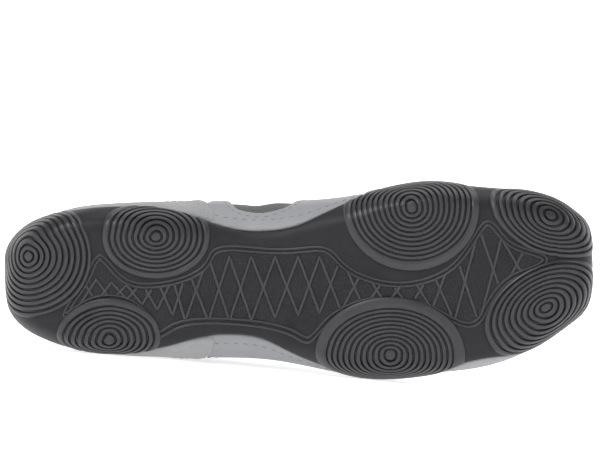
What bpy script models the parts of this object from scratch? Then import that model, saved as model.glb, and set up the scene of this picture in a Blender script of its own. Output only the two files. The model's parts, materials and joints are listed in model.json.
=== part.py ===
"""A left wrestling shoe, empty, lying on its outer side with the sole facing -Y.

The shoe is drawn standing first: x runs from heel to toe, +y is the outer (lateral) side of a
left shoe, and z is up from the tread. Every piece is cut from one form, the outside of the
lasted upper, so that walls, overlays, sole, insole and tongue all follow the same last. At the
end the whole shoe is laid on the side of its hull under which its weight falls.
"""

import math

import bmesh
import bpy
import numpy as np
from mathutils import Matrix, Vector

# Driving dimensions, in metres. The form is the outside of the lasted upper.
LENGTH = 0.274
BALL_WIDTH = 0.0895
INSTEP_HEIGHT = 0.115
COLLAR_HEIGHT = 0.154
TOE_LIFT = 0.018
ARCH_LIFT = 0.0042
SOLE_THICKNESS = 0.0052

UPPER_WALL = 0.0022
OVERLAY_THICKNESS = 0.0012
CUFF_THICKNESS = 0.0024
CUFF_DEPTH = 0.020
CLEARANCE = 0.0003

# The rubber: its plain sheet and its lugs, under the foot and up the side.
SHEET_UNDER = 0.0030
SHEET_SIDE = 0.0018
LUG_SIDE = 0.0030
LUG_PLANED = 0.0006
RUBBER_WRAP = 0.026
SIDE_STEP = 0.0022

INSOLE_THICKNESS = 0.0035
INSOLE_TURN_UP = 0.06
LASTED_OPENING = 0.86
TONGUE_THICKNESS = 0.0035
TONGUE_WIDTH = 0.056
TONGUE_RISE = 0.012

THROAT_GAP_VAMP = 0.018
THROAT_GAP_TOP = 0.028
EYESTAY_WIDTH = 0.018
EYELET_PAIRS = 7
EYELET_BORE = 0.0042
EYELET_FLANGE = 0.0076
EYELET_HEIGHT = 0.0007
EYELET_INSET = 0.0075
EYELET_SIDES = 6
EYELET_FIRST = 0.0085
EYELET_LAST = 0.0080
LACE_WIDTH = 0.0062
LACE_THICKNESS = 0.0011
LACE_ROOM = 0.0012
LACE_APART = 0.0048
LACE_DIP = 0.0016
LACE_STEPS = 7

# Mesh fineness of the form: points over the crown, round the lower corner and across the flat.
CROWN_STEPS = 5
CORNER_STEPS = 4
FLAT_STEPS = 1
ROW_COUNT = 22
TOE_ROWS = (0.25, 0.55)
# A section read between two rows keeps its crown and its flat within these.
CROWN_LEAST = 1.5
FLAT_MOST = 0.95

# The form's sections from the toe to the ankle crease. top_x and low_x are shares of LENGTH and
# top_z of INSTEP_HEIGHT. toe_lift and arch_lift are shares of those lifts above the sole. half
# and swing are shares of half the ball width, + swing to the outer side. widest is how far up
# from its low end a section is widest, crown its exponent over the top, and flat the share of its
# width that is flat underneath.
FOOT_COLUMNS = (
    "top_x", "top_z", "low_x", "toe_lift", "arch_lift", "half", "swing", "widest", "crown", "flat",
)
FOOT_SECTIONS = (
    (1.000, 0.205, 1.000, 1.000, 0.00, 0.000, -0.160, 0.50, 2.0, 0.00),
    (0.993, 0.272, 0.993, 0.600, 0.00, 0.365, -0.160, 0.48, 2.2, 0.25),
    (0.972, 0.330, 0.972, 0.345, 0.00, 0.530, -0.154, 0.44, 2.3, 0.44),
    (0.940, 0.380, 0.940, 0.205, 0.00, 0.666, -0.145, 0.39, 2.4, 0.58),
    (0.883, 0.434, 0.883, 0.080, 0.00, 0.825, -0.085, 0.33, 2.4, 0.68),
    (0.806, 0.500, 0.806, 0.000, 0.00, 0.922, -0.030, 0.30, 2.3, 0.73),
    (0.724, 0.578, 0.724, 0.000, 0.00, 0.970, -0.020, 0.28, 2.2, 0.75),
    (0.645, 0.670, 0.630, 0.000, 0.00, 0.950, 0.039, 0.28, 2.2, 0.73),
    (0.578, 0.762, 0.530, 0.000, 0.40, 0.875, 0.045, 0.31, 2.3, 0.60),
    (0.523, 0.846, 0.417, 0.000, 1.00, 0.815, 0.005, 0.34, 2.5, 0.46),
    (0.481, 0.924, 0.300, 0.000, 0.50, 0.800, -0.008, 0.29, 2.7, 0.52),
    (0.449, 1.000, 0.184, 0.000, 0.00, 0.790, -0.010, 0.24, 2.9, 0.66),
)
# From the crease up to above the collar. rise is a share of the shaft's height above the instep
# at the front, and low_z a share of COLLAR_HEIGHT at the back.
SHAFT_COLUMNS = ("top_x", "rise", "low_x", "low_z", "half", "swing", "widest", "crown", "flat")
SHAFT_SECTIONS = (
    (0.430, 0.190, 0.085, 0.034, 0.765, -0.015, 0.26, 3.0, 0.58),
    (0.418, 0.360, 0.013, 0.115, 0.745, -0.020, 0.37, 3.0, 0.36),
    (0.410, 0.520, 0.000, 0.260, 0.730, -0.012, 0.45, 2.9, 0.24),
    (0.405, 0.680, 0.022, 0.480, 0.714, -0.005, 0.48, 2.7, 0.22),
    (0.402, 0.840, 0.044, 0.730, 0.716, 0.000, 0.48, 2.6, 0.22),
    (0.400, 1.000, 0.038, 0.974, 0.742, 0.000, 0.48, 2.5, 0.22),
    (0.398, 1.180, 0.030, 1.190, 0.768, 0.000, 0.48, 2.5, 0.22),
    (0.396, 1.400, 0.028, 1.400, 0.780, 0.000, 0.48, 2.5, 0.22),
)
VAMP_ROW = 6.15
LAST_ROW = len(FOOT_SECTIONS) + len(SHAFT_SECTIONS) - 1
COLLAR_ROW = LAST_ROW - 2
TONGUE_ROW = VAMP_ROW - 0.6
EYESTAY_ROW = VAMP_ROW - 0.7
OPENING_ROWS = (2.5, 12.0)
INSOLE_ROWS = (1.8, 12.5)

# How high the rubber reaches up each side: shares of LENGTH and of RUBBER_WRAP.
RUBBER_EDGE = {
    "lateral": (
        (-0.08, 1.20), (0.00, 1.18), (0.05, 0.95), (0.11, 0.68), (0.17, 0.58), (0.25, 0.52),
        (0.32, 0.43), (0.40, 0.46), (0.45, 0.49), (0.50, 0.60), (0.55, 0.70), (0.60, 0.90),
        (0.66, 0.95), (0.71, 0.80), (0.76, 0.45), (0.80, 0.34), (0.84, 0.40), (0.89, 0.66),
        (0.94, 0.95), (1.00, 1.15), (1.08, 1.20),
    ),
    "medial": (
        (-0.08, 1.20), (0.00, 1.18), (0.05, 0.95), (0.11, 0.68), (0.17, 0.60), (0.25, 0.58),
        (0.32, 0.49), (0.38, 0.43), (0.44, 0.40), (0.50, 0.36), (0.55, 0.42), (0.60, 0.58),
        (0.65, 0.80), (0.70, 0.92), (0.76, 0.92), (0.82, 0.86), (0.88, 0.86), (0.94, 1.00),
        (1.00, 1.15), (1.08, 1.20),
    ),
}
# The edge's height passes from one side to the other over this much to each side of the middle.
EDGE_BLEND = 0.0112

# The round lugs: centre along LENGTH and across half the ball width (+ to the outer side), half
# sizes as shares of LENGTH, and the turn in degrees.
LUG_COLUMNS = ("along", "across", "long", "wide", "turn")
LUGS = {
    "heel": (0.029, -0.255, 0.102, 0.102, 0.0),
    "heel_medial": (0.251, -0.456, 0.092, 0.071, 0.0),
    "heel_lateral": (0.169, 0.612, 0.087, 0.065, 0.0),
    "ball_medial": (0.693, -0.775, 0.115, 0.106, 0.0),
    "ball_lateral": (0.659, 0.786, 0.127, 0.096, 0.0),
    "toe_medial": (0.935, -0.690, 0.105, 0.062, 20.0),
    "toe_lateral": (0.930, 0.297, 0.112, 0.070, -30.0),
}
# Each lug is a low dome in steps: share of its plan, and of its height over the sheet.
LUG_STEPS = ((1.00, 0.55), (0.80, 1.00))
LUG_SEGMENTS = 16
# The flat spots under heel and ball, measured from the centres of the inner lugs there.
HEEL_SPOT_BACK = 0.0123
HEEL_SPOT_OUTWARD = 0.0064
BALL_SPOT_OUTWARD = 0.012

# Overlay edges seen from the side: shares of LENGTH and of INSTEP_HEIGHT.
SADDLE_BACK = 0.345
SADDLE_FRONT = 0.605
HEEL_COUNTER_TOP = (
    (0.345, 0.10), (0.330, 0.22), (0.280, 0.33), (0.200, 0.44), (0.100, 0.56), (0.000, 0.64),
    (-0.060, 0.67),
)
TOE_GUARD_TOP = (
    (0.605, 0.10), (0.620, 0.20), (0.670, 0.27), (0.740, 0.31), (0.810, 0.345), (0.850, 0.41),
    (0.875, 0.50), (0.885, 0.62),
)
TOE_GUARD_END = 1.2
SADDLE_TOP = {
    "medial": (
        (0.345, 0.30), (0.348, 0.42), (0.361, 0.46), (0.378, 0.38), (0.402, 0.21), (0.440, 0.165),
        (0.482, 0.215), (0.512, 0.36), (0.540, 0.45), (0.575, 0.45), (0.598, 0.37), (0.605, 0.26),
    ),
    "lateral": (
        (0.345, 0.30), (0.352, 0.42), (0.390, 0.45), (0.440, 0.44), (0.490, 0.43), (0.550, 0.42),
        (0.595, 0.38), (0.605, 0.28),
    ),
}

# Room that cutters reach past the shoe, and how finely curved cutters are drawn.
FAR = 0.09
BELOW = -0.02
OUTLINE_STEPS = 15
EDGE_STEPS = 25
MERGE = 0.00003
FLAT_ANGLE = math.radians(0.3)
SHARP_ANGLE = math.radians(40)
RUBBER_CLEAR = 1.5

# Cutters that run along the ridge: their reach outwards, past the form's end, and inwards for each
# use, their spacing in rows, and their rounded lower end as rows from the first and shares of the
# width.
RIDGE_OUT = 0.012
RIDGE_PAST = 0.009
THROAT_IN = 0.010
TONGUE_IN = 0.032
EYESTAY_IN = 0.022
RIDGE_SPACING = 0.5
RIDGE_EVEN_FROM = 0.75
RIDGE_END = ((0.00, 0.45), (0.12, 0.80), (0.35, 0.95))
RIDGE_SAMPLES = 200

# Steps for slopes, along y and in rows, and how squarely a face must look outwards to lie on.
NUDGE = 0.001
ROW_NUDGE = 0.1
LYING_SIDE = 0.7

COLOURS = {
    "rubber": ((0.055, 0.055, 0.060), 0.62),
    "mesh_cloth": ((0.075, 0.078, 0.074), 0.90),
    "suede": ((0.42, 0.43, 0.44), 0.92),
    "synthetic_leather": ((0.38, 0.39, 0.41), 0.55),
    "lining": ((0.10, 0.10, 0.11), 0.95),
    "lace_cord": ((0.07, 0.07, 0.075), 0.85),
}


def spline(values, at):
    """Natural cubic through values at 0, 1, 2 ..., read at each of at."""
    values = np.asarray(values, float)
    count = len(values)
    matrix = np.eye(count)
    right = np.zeros(count)
    for i in range(1, count - 1):
        matrix[i, i - 1 : i + 2] = (1, 4, 1)
        right[i] = 6 * (values[i - 1] - 2 * values[i] + values[i + 1])
    bend = np.linalg.solve(matrix, right)
    at = np.asarray(at, float)
    i = np.clip(at.astype(int), 0, count - 2)
    t = at - i
    straight = values[i] * (1 - t) + values[i + 1] * t
    return straight + (bend[i] * ((1 - t) ** 3 - (1 - t)) + bend[i + 1] * (t**3 - t)) / 6


def smooth_line(points, steps):
    """A smooth line of points through hand-placed ones."""
    points = np.array(points, float)
    at = np.linspace(0, len(points) - 1, steps)
    return np.stack([spline(points[:, k], at) for k in range(points.shape[1])], 1)


def section_table():
    """Every row in metres: top and low points, half width, swing and the three shape numbers."""
    rows = []
    for row in FOOT_SECTIONS:
        v = dict(zip(FOOT_COLUMNS, row))
        low_z = SOLE_THICKNESS + v["toe_lift"] * TOE_LIFT + v["arch_lift"] * ARCH_LIFT
        ends = (v["top_x"] * LENGTH, v["top_z"] * INSTEP_HEIGHT, v["low_x"] * LENGTH, low_z)
        rows.append(ends + row[-5:])
    for row in SHAFT_SECTIONS:
        v = dict(zip(SHAFT_COLUMNS, row))
        top_z = INSTEP_HEIGHT + v["rise"] * (COLLAR_HEIGHT - INSTEP_HEIGHT)
        low_z = max(v["low_z"] * COLLAR_HEIGHT, SOLE_THICKNESS)  # never below the sole's top
        ends = (v["top_x"] * LENGTH, top_z, v["low_x"] * LENGTH, low_z)
        rows.append(ends + row[-5:])
    table = np.array(rows)
    table[:, 4:6] *= BALL_WIDTH / 2
    return table


TABLE = section_table()


def section_at(row):
    """The section's columns at a row number, which may lie between two rows."""
    return [float(spline(TABLE[:, k], row)) for k in range(TABLE.shape[1])]


def half_section(widest, crown, flat):
    """Shares (down from the top, out of the half width) from the ridge to the middle underneath."""
    crown = max(crown, CROWN_LEAST)
    flat = min(max(flat, 0.0), FLAT_MOST)
    over = 1 - widest
    points = []
    for k in range(CROWN_STEPS):
        a = math.pi / 2 * k / CROWN_STEPS
        points.append((over * (1 - math.cos(a) ** (2 / crown)), math.sin(a) ** (2 / crown)))
    for k in range(CORNER_STEPS + 1):
        a = math.pi / 2 * k / CORNER_STEPS
        points.append((over + widest * math.sin(a), flat + (1 - flat) * math.cos(a)))
    for k in range(1, FLAT_STEPS + 1):
        points.append((1.0, flat * (1 - k / FLAT_STEPS)))
    return np.array(points)


def ring(row):
    """One closed section of the form, from the ridge round the outer side and back."""
    top_x, top_z, low_x, low_z, half, swing, widest, crown, flat = section_at(row)
    down, out = half_section(widest, crown, flat).T
    x = top_x + (low_x - top_x) * down
    z = top_z + (low_z - top_z) * down
    outer = np.stack([x, swing + half * out, z], 1)
    inner = np.stack([x, swing - half * out, z], 1)
    return np.concatenate([outer, inner[-2:0:-1]])


def outward(grid):
    """Unit normals of a grid of points whose rows close on themselves."""
    along = np.gradient(grid, axis=0)
    around = np.roll(grid, -1, axis=1) - np.roll(grid, 1, axis=1)
    normal = np.cross(around, along)
    return normal / np.maximum(np.linalg.norm(normal, axis=2, keepdims=True), 1e-12)


FORM_ROWS = list(TOE_ROWS) + list(np.linspace(1, LAST_ROW, ROW_COUNT))
FORM_GRID = np.array([ring(r) for r in FORM_ROWS])
FORM_NORMALS = outward(FORM_GRID)


def crown_point(row, y, out=0.0):
    """The point of the form over the crown at a row and a distance y from the ridge, moved out."""

    def at(row, y):
        top_x, top_z, low_x, low_z, half, swing, widest, crown, _ = section_at(row)
        a = math.asin(min(abs(y) / half, 1 - NUDGE) ** (crown / 2))
        down = (1 - widest) * (1 - math.cos(a) ** (2 / crown))
        return Vector((top_x + (low_x - top_x) * down, swing + y, top_z + (low_z - top_z) * down))

    point = at(row, y)
    across = at(row, y + NUDGE) - at(row, y - NUDGE)
    along = at(row + ROW_NUDGE, y) - at(row - ROW_NUDGE, y)
    normal = across.cross(along).normalized()
    return point + normal * out, normal


def throat_half(row):
    """Half the throat's width at a row."""
    share = (row - VAMP_ROW) / (COLLAR_ROW - VAMP_ROW)
    return (THROAT_GAP_VAMP + (THROAT_GAP_TOP - THROAT_GAP_VAMP) * share) / 2


def material(name):
    """A Principled material of the named finish, made once."""
    if name in bpy.data.materials:
        return bpy.data.materials[name]
    colour, roughness = COLOURS[name]
    made = bpy.data.materials.new(name)
    made.use_nodes = True
    shader = made.node_tree.nodes["Principled BSDF"]
    shader.inputs["Base Color"].default_value = (*colour, 1.0)
    shader.inputs["Roughness"].default_value = roughness
    shader.inputs["Metallic"].default_value = 0.0
    made.diffuse_color = (*colour, 1.0)
    return made


def add_object(name, bm):
    """A mesh object from bm, linked to the scene."""
    bmesh.ops.recalc_face_normals(bm, faces=bm.faces)
    mesh = bpy.data.meshes.new(name)
    bm.to_mesh(mesh)
    bm.free()
    made = bpy.data.objects.new(name, mesh)
    bpy.context.scene.collection.objects.link(made)
    return made


def loft(rings, start=None, end=None):
    """A closed solid through rings of equally many points, ended by caps or by given points.

    Each side is two triangles with the same diagonal, so that layers of one form stay parallel.
    """
    bm = bmesh.new()
    loops = [[bm.verts.new(p) for p in r] for r in rings]
    count = len(loops[0])
    for a, b in zip(loops, loops[1:]):
        for i in range(count):
            j = (i + 1) % count
            bm.faces.new((a[i], a[j], b[j]))
            bm.faces.new((a[i], b[j], b[i]))
    for loop, point in ((loops[0], start), (loops[-1], end)):
        if point is None:
            bm.faces.new(loop)
        else:
            tip = bm.verts.new(point)
            for i in range(count):
                bm.faces.new((loop[i], loop[(i + 1) % count], tip))
    return bm


def form(under, side=None):
    """The whole form grown by under where it faces down and by side elsewhere."""
    side = under if side is None else side
    down = np.clip(-FORM_NORMALS[:, :, 2:3], 0, 1) ** 2
    grid = FORM_GRID + FORM_NORMALS * (side + (under - side) * down)
    if side < -UPPER_WALL / 2:
        return add_object("form", loft(list(grid[len(TOE_ROWS):])))
    tip_x, tip_z, _, _, _, swing, _, _, _ = section_at(0)
    return add_object("form", loft(list(grid), start=(tip_x + side, swing, tip_z)))


def combine(target, tool, operation):
    """Cuts or joins target with tool for good, and removes the tool."""
    modifier = target.modifiers.new(operation.lower(), "BOOLEAN")
    modifier.operation = operation
    modifier.object = tool
    modifier.solver = "EXACT"
    graph = bpy.context.evaluated_depsgraph_get()
    target.data = bpy.data.meshes.new_from_object(target.evaluated_get(graph))
    target.modifiers.clear()
    bpy.data.objects.remove(tool)
    return target


def cut(target, tool):
    return combine(target, tool, "DIFFERENCE")


def keep(target, tool):
    return combine(target, tool, "INTERSECT")


def join(target, tool):
    return combine(target, tool, "UNION")


def shell(inside, outside):
    """The layer of the form between two distances from it."""
    return cut(form(outside), form(inside))


def finished(made, name, finish):
    """Names a piece, gives it its material and shades its round faces smooth."""
    work = bmesh.new()
    work.from_mesh(made.data)
    bmesh.ops.remove_doubles(work, verts=work.verts, dist=MERGE)
    bmesh.ops.dissolve_degenerate(work, edges=work.edges, dist=MERGE)
    bmesh.ops.dissolve_limit(work, angle_limit=FLAT_ANGLE, verts=work.verts, edges=work.edges)
    bmesh.ops.triangulate(work, faces=work.faces)
    work.to_mesh(made.data)
    work.free()
    made.name = name
    made.data.name = name
    made.data.materials.clear()
    made.data.materials.append(material(finish))
    made.data.shade_smooth()
    made.data.set_sharp_from_angle(angle=SHARP_ANGLE)
    return made


def prism(outline, axis, low, high):
    """A prism along one axis (0, 1 or 2) from an outline of points in the other two."""

    def placed(point, level):
        at = list(point)
        at.insert(axis, level)
        return at

    rings = [[placed(p, level) for p in outline] for level in (low, high)]
    return add_object("prism", loft(rings))


def rubber_region(lift=0.0):
    """Everything under the rubber's top edge, which may be lifted."""
    medial = smooth_line(RUBBER_EDGE["medial"], EDGE_STEPS)
    lateral = smooth_line(RUBBER_EDGE["lateral"], EDGE_STEPS)
    rings = []
    for share in np.linspace(RUBBER_EDGE["medial"][0][0], RUBBER_EDGE["medial"][-1][0], EDGE_STEPS):
        x = share * LENGTH
        low = np.interp(share, medial[:, 0], medial[:, 1]) * RUBBER_WRAP + lift
        high = np.interp(share, lateral[:, 0], lateral[:, 1]) * RUBBER_WRAP + lift
        inner = ((-FAR, BELOW), (-FAR, low), (-EDGE_BLEND, low))
        outer = ((EDGE_BLEND, high), (FAR, high), (FAR, BELOW))
        rings.append([(x, y, z) for y, z in inner + outer])
    return add_object("rubber region", loft(rings))


def lug_prisms(scale):
    """Upright prisms of all the lugs' ellipses, their plan scaled, taller than the rubber."""
    bm = bmesh.new()
    for row in LUGS.values():
        v = dict(zip(LUG_COLUMNS, row))
        turn = math.radians(v["turn"])
        loops = []
        for z in (BELOW, RUBBER_CLEAR * RUBBER_WRAP):
            loop = []
            for k in range(LUG_SEGMENTS):
                a = 2 * math.pi * (k + 0.5) / LUG_SEGMENTS
                along = v["long"] * LENGTH * scale * math.cos(a)
                across = v["wide"] * LENGTH * scale * math.sin(a)
                x = v["along"] * LENGTH + along * math.cos(turn) - across * math.sin(turn)
                y = v["across"] * BALL_WIDTH / 2 + along * math.sin(turn) + across * math.cos(turn)
                loop.append(bm.verts.new((x, y, z)))
            loops.append(loop)
        for k in range(LUG_SEGMENTS):
            j = (k + 1) % LUG_SEGMENTS
            bm.faces.new((loops[0][k], loops[0][j], loops[1][j], loops[1][k]))
        bm.faces.new(loops[0])
        bm.faces.new(loops[1])
    return add_object("lug prisms", bm)


def underside_outline(ends, share, turn_up=0.0, shrink=0.0):
    """Plan outline of the form's flat underside between two end rows."""
    first, last = ends
    rows = np.linspace(first, last, OUTLINE_STEPS)
    sides = []
    for sign in (1, -1):
        line = []
        for row in rows:
            _, _, low_x, _, half, swing, _, _, flat = section_at(row)
            reach = half * min(flat + turn_up, FLAT_MOST) * share - shrink
            inset = shrink if row == first else -shrink if row == last else 0.0
            line.append((low_x - inset, swing + sign * reach))
        sides.append(line)
    return sides[0] + sides[1][::-1]


def above_collar(lift=0.0):
    """Everything above the collar's edge, moved up by lift."""
    front_x, front_z, back_x, back_z = section_at(COLLAR_ROW)[:4]
    slope = (front_z - back_z) / (front_x - back_x)
    left = (-FAR, back_z + slope * (-FAR - back_x) + lift)
    right = (LENGTH, back_z + slope * (LENGTH - back_x) + lift)
    top = COLLAR_HEIGHT + FAR
    return prism((left, right, (LENGTH, top), (-FAR, top)), 1, -FAR, FAR)


def ridge_direction(row):
    """The ridge's direction at a row, in x and z."""
    before = section_at(row - ROW_NUDGE)
    after = section_at(min(row + ROW_NUDGE, LAST_ROW))
    return Vector((after[0] - before[0], after[1] - before[1])).normalized()


def ridge_strip(first, half_at, reach_in):
    """A strip across the ridge from a row to the last one, with a rounded lower end."""
    even = np.arange(first + RIDGE_EVEN_FROM, LAST_ROW, RIDGE_SPACING)
    stations = [(first + rows, share) for rows, share in RIDGE_END]
    stations += [(row, 1.0) for row in even] + [(LAST_ROW, 1.0)]
    rings = []
    for row, share in stations:
        along = ridge_direction(row)
        normal = Vector((along.y, -along.x))
        top_x, top_z, _, _, _, swing, _, _, _ = section_at(row)
        if row == LAST_ROW:
            top_x, top_z = top_x + along.x * RIDGE_PAST, top_z + along.y * RIDGE_PAST
        half = half_at(row) * share
        loop = []
        for y, out in ((half, RIDGE_OUT), (half, -reach_in), (-half, -reach_in), (-half, RIDGE_OUT)):
            loop.append((top_x + normal.x * out, swing + y, top_z + normal.y * out))
        rings.append(loop)
    return add_object("ridge strip", loft(rings))


def throat_opening():
    return ridge_strip(VAMP_ROW, throat_half, THROAT_IN)


def tongue_half(row):
    return TONGUE_WIDTH / 2


def eyestay_half(row):
    return throat_half(row) + EYESTAY_WIDTH


def side_region(top, back, front, side):
    """The side of the shoe below a curve and between two shares of LENGTH."""
    line = [(x * LENGTH, z * INSTEP_HEIGHT) for x, z in smooth_line(top, OUTLINE_STEPS)]
    outline = [(back, BELOW)] + line + [(front, BELOW)]
    low, high = {"both": (-FAR, FAR), "lateral": (0.0, FAR), "medial": (-FAR, 0.0)}[side]
    return prism(outline, 1, low, high)


def swept_strip(points, normals, width, thickness):
    """A flat strip along points, lying square to normals."""
    rings = []
    for k, point in enumerate(points):
        tangent = (points[min(k + 1, len(points) - 1)] - points[max(k - 1, 0)]).normalized()
        side = tangent.cross(normals[k]).normalized()
        up = side.cross(tangent).normalized()
        corners = ((-1, 0), (1, 0), (1, 1), (-1, 1))
        rings.append([point + side * (width / 2 * s) + up * (thickness * t) for s, t in corners])
    return add_object("strip", loft(rings))


# Main form first: upper, sole, insole and tongue.
def make_upper():
    upper = shell(-UPPER_WALL, 0.0)
    cut(upper, above_collar())
    cut(upper, throat_opening())
    opening = underside_outline(OPENING_ROWS, LASTED_OPENING)
    cut(upper, prism(opening, 2, BELOW, TOE_LIFT + SOLE_THICKNESS))
    return finished(upper, "upper", "mesh_cloth")


def make_outsole():
    outsole = form(SHEET_UNDER, SHEET_SIDE)
    for step, (plan, height) in enumerate(LUG_STEPS):
        under = SHEET_UNDER + height * (SOLE_THICKNESS + LUG_PLANED - SHEET_UNDER)
        side = SHEET_SIDE + height * (LUG_SIDE - SHEET_SIDE)
        lugs = keep(form(under, side), lug_prisms(plan))
        if step:
            keep(lugs, rubber_region(-SIDE_STEP * step))
        join(outsole, lugs)
    keep(outsole, rubber_region())
    cut(outsole, form(CLEARANCE))
    ground = ((-FAR, -FAR), (LENGTH + FAR, -FAR), (LENGTH + FAR, FAR), (-FAR, FAR))
    cut(outsole, prism(ground, 2, BELOW, 0.0))
    return finished(outsole, "outsole", "rubber")


def make_insole():
    top = UPPER_WALL + CLEARANCE
    insole = shell(-top - INSOLE_THICKNESS, -top)
    outline = underside_outline(INSOLE_ROWS, 1.0, INSOLE_TURN_UP)
    keep(insole, prism(outline, 2, BELOW, TOE_LIFT + SOLE_THICKNESS))
    plug = shell(-top - INSOLE_THICKNESS / 2, 0.0)
    opening = underside_outline(OPENING_ROWS, LASTED_OPENING, shrink=CLEARANCE)
    keep(plug, prism(opening, 2, BELOW, TOE_LIFT + SOLE_THICKNESS))
    join(insole, plug)
    return finished(insole, "insole", "lining")


def make_tongue():
    outside = UPPER_WALL + CLEARANCE
    tongue = shell(-outside - TONGUE_THICKNESS, -outside)
    keep(tongue, ridge_strip(TONGUE_ROW, tongue_half, TONGUE_IN))
    cut(tongue, above_collar(TONGUE_RISE))
    return finished(tongue, "tongue", "mesh_cloth")


# Overlays: layers of the form just outside the upper, above the rubber.
def overlay(region):
    made = shell(CLEARANCE, CLEARANCE + OVERLAY_THICKNESS)
    keep(made, region)
    return cut(made, rubber_region(CLEARANCE))


def make_heel_counter():
    region = side_region(HEEL_COUNTER_TOP, SADDLE_BACK * LENGTH, -FAR, "both")
    return finished(overlay(region), "heel_counter", "suede")


def make_toe_guard():
    line = [(x * LENGTH, z * INSTEP_HEIGHT) for x, z in smooth_line(TOE_GUARD_TOP, OUTLINE_STEPS)]
    front = TOE_GUARD_END * LENGTH
    outline = [(line[0][0], BELOW)] + line + [(front, line[-1][1]), (front, BELOW)]
    return finished(overlay(prism(outline, 1, -FAR, FAR)), "toe_guard", "suede")


def make_saddle(side):
    line = smooth_line(SADDLE_TOP[side], OUTLINE_STEPS)
    room = CLEARANCE / LENGTH
    inside = [(min(max(x, SADDLE_BACK + room), SADDLE_FRONT - room), z) for x, z in line]
    region = side_region(inside, inside[0][0] * LENGTH, inside[-1][0] * LENGTH, side)
    return finished(overlay(region), "saddle_" + side, "synthetic_leather")


def make_eyestay():
    eyestay = shell(CLEARANCE, CLEARANCE + OVERLAY_THICKNESS)
    keep(eyestay, ridge_strip(EYESTAY_ROW, eyestay_half, EYESTAY_IN))
    cut(eyestay, throat_opening())
    cut(eyestay, above_collar(-CUFF_DEPTH - CLEARANCE))
    return finished(eyestay, "eyestay", "synthetic_leather")


def make_cuff():
    cuff = shell(CLEARANCE, CLEARANCE + CUFF_THICKNESS)
    keep(cuff, above_collar(-CUFF_DEPTH))
    cut(cuff, above_collar())
    cut(cuff, throat_opening())
    return finished(cuff, "cuff", "synthetic_leather")


# Lacing: eyelets on the eyestay and flat lace over them.
def ridge_lengths(last):
    """Rows from the lower end of the throat, and their distances up the ridge."""
    rows = np.linspace(VAMP_ROW, last, RIDGE_SAMPLES)
    points = np.array([section_at(row)[:2] for row in rows])
    steps = np.linalg.norm(np.diff(points, axis=0), axis=1)
    return rows, np.concatenate([[0.0], np.cumsum(steps)])


def ridge_rows(distances):
    """Row numbers at distances up the ridge from the lower end of the throat."""
    rows, lengths = ridge_lengths(LAST_ROW)
    return np.interp(distances, lengths, rows)


def eyelet_distances():
    """Distances of the eyelet pairs up the ridge, evenly spaced below the cuff."""
    length = ridge_lengths(COLLAR_ROW)[1][-1]
    return np.linspace(EYELET_FIRST, length - CUFF_DEPTH - EYELET_LAST, EYELET_PAIRS)


def make_eyelet(name, row, y):
    base = CLEARANCE * 2 + OVERLAY_THICKNESS
    point, normal = crown_point(row, y, base)
    first = normal.cross(Vector((0, 1, 0))).normalized()
    second = normal.cross(first)
    rings = []
    for k in range(EYELET_SIDES):
        a = 2 * math.pi * k / EYELET_SIDES
        out = first * math.cos(a) + second * math.sin(a)
        inner, outer = out * (EYELET_BORE / 2), out * (EYELET_FLANGE / 2)
        high = normal * EYELET_HEIGHT
        rings.append([point + inner, point + outer, point + outer + high, point + inner + high])
    bm = bmesh.new()
    loops = [[bm.verts.new(p) for p in r] for r in rings]
    for a, b in zip(loops, loops[1:] + loops[:1]):
        for i in range(4):
            j = (i + 1) % 4
            bm.faces.new((a[i], a[j], b[j], b[i]))
    return finished(add_object(name, bm), name, "lace_cord")


def lace_strip(row_a, y_a, row_b, y_b, lift=0.0):
    """A flat strip from one eyelet to another, which dips a little over the throat."""
    over_eyelets = CLEARANCE * 2 + OVERLAY_THICKNESS + EYELET_HEIGHT + LACE_ROOM
    points, normals = [], []
    for t in np.linspace(0, 1, LACE_STEPS):
        height = LACE_DIP + (over_eyelets - LACE_DIP) * (2 * t - 1) ** 2 + lift
        point, normal = crown_point(row_a + (row_b - row_a) * t, y_a + (y_b - y_a) * t, height)
        points.append(point)
        normals.append(normal)
    return swept_strip(points, normals, LACE_WIDTH, LACE_THICKNESS)


def make_lacing():
    made = []
    distances = eyelet_distances()
    rows = ridge_rows(distances)
    starts = ridge_rows(distances + LACE_APART)
    ends = ridge_rows(distances - LACE_APART)
    reach = [throat_half(row) + EYELET_INSET for row in rows]
    for k, row in enumerate(rows):
        for side, sign in (("lateral", 1), ("medial", -1)):
            made.append(make_eyelet(f"eyelet_{side}_{k + 1}", row, sign * reach[k]))
    bar_row = ridge_rows(distances[0] + LACE_APART - LACE_WIDTH - 2 * CLEARANCE)
    bar = lace_strip(bar_row, reach[0], bar_row, -reach[0])
    made.append(finished(bar, "lace_bar", "lace_cord"))
    for k in range(len(rows) - 1):
        low, high = starts[k], ends[k + 1]
        crossing = lace_strip(low, reach[k], high, -reach[k + 1])
        join(crossing, lace_strip(low, -reach[k], high, reach[k + 1], LACE_THICKNESS / 2))
        made.append(finished(crossing, f"lace_crossing_{k + 1}", "lace_cord"))
    return made


def volume_and_centre(made):
    """Volume and centre of a closed triangle mesh."""
    points = np.array([v.co for v in made.data.vertices])
    faces = np.array([p.vertices for p in made.data.polygons])
    a, b, c = points[faces[:, 0]], points[faces[:, 1]], points[faces[:, 2]]
    share = np.einsum("ij,ij->i", a, np.cross(b, c)) / 6
    return share.sum(), ((a + b + c) * share[:, None]).sum(0) / 4


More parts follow.
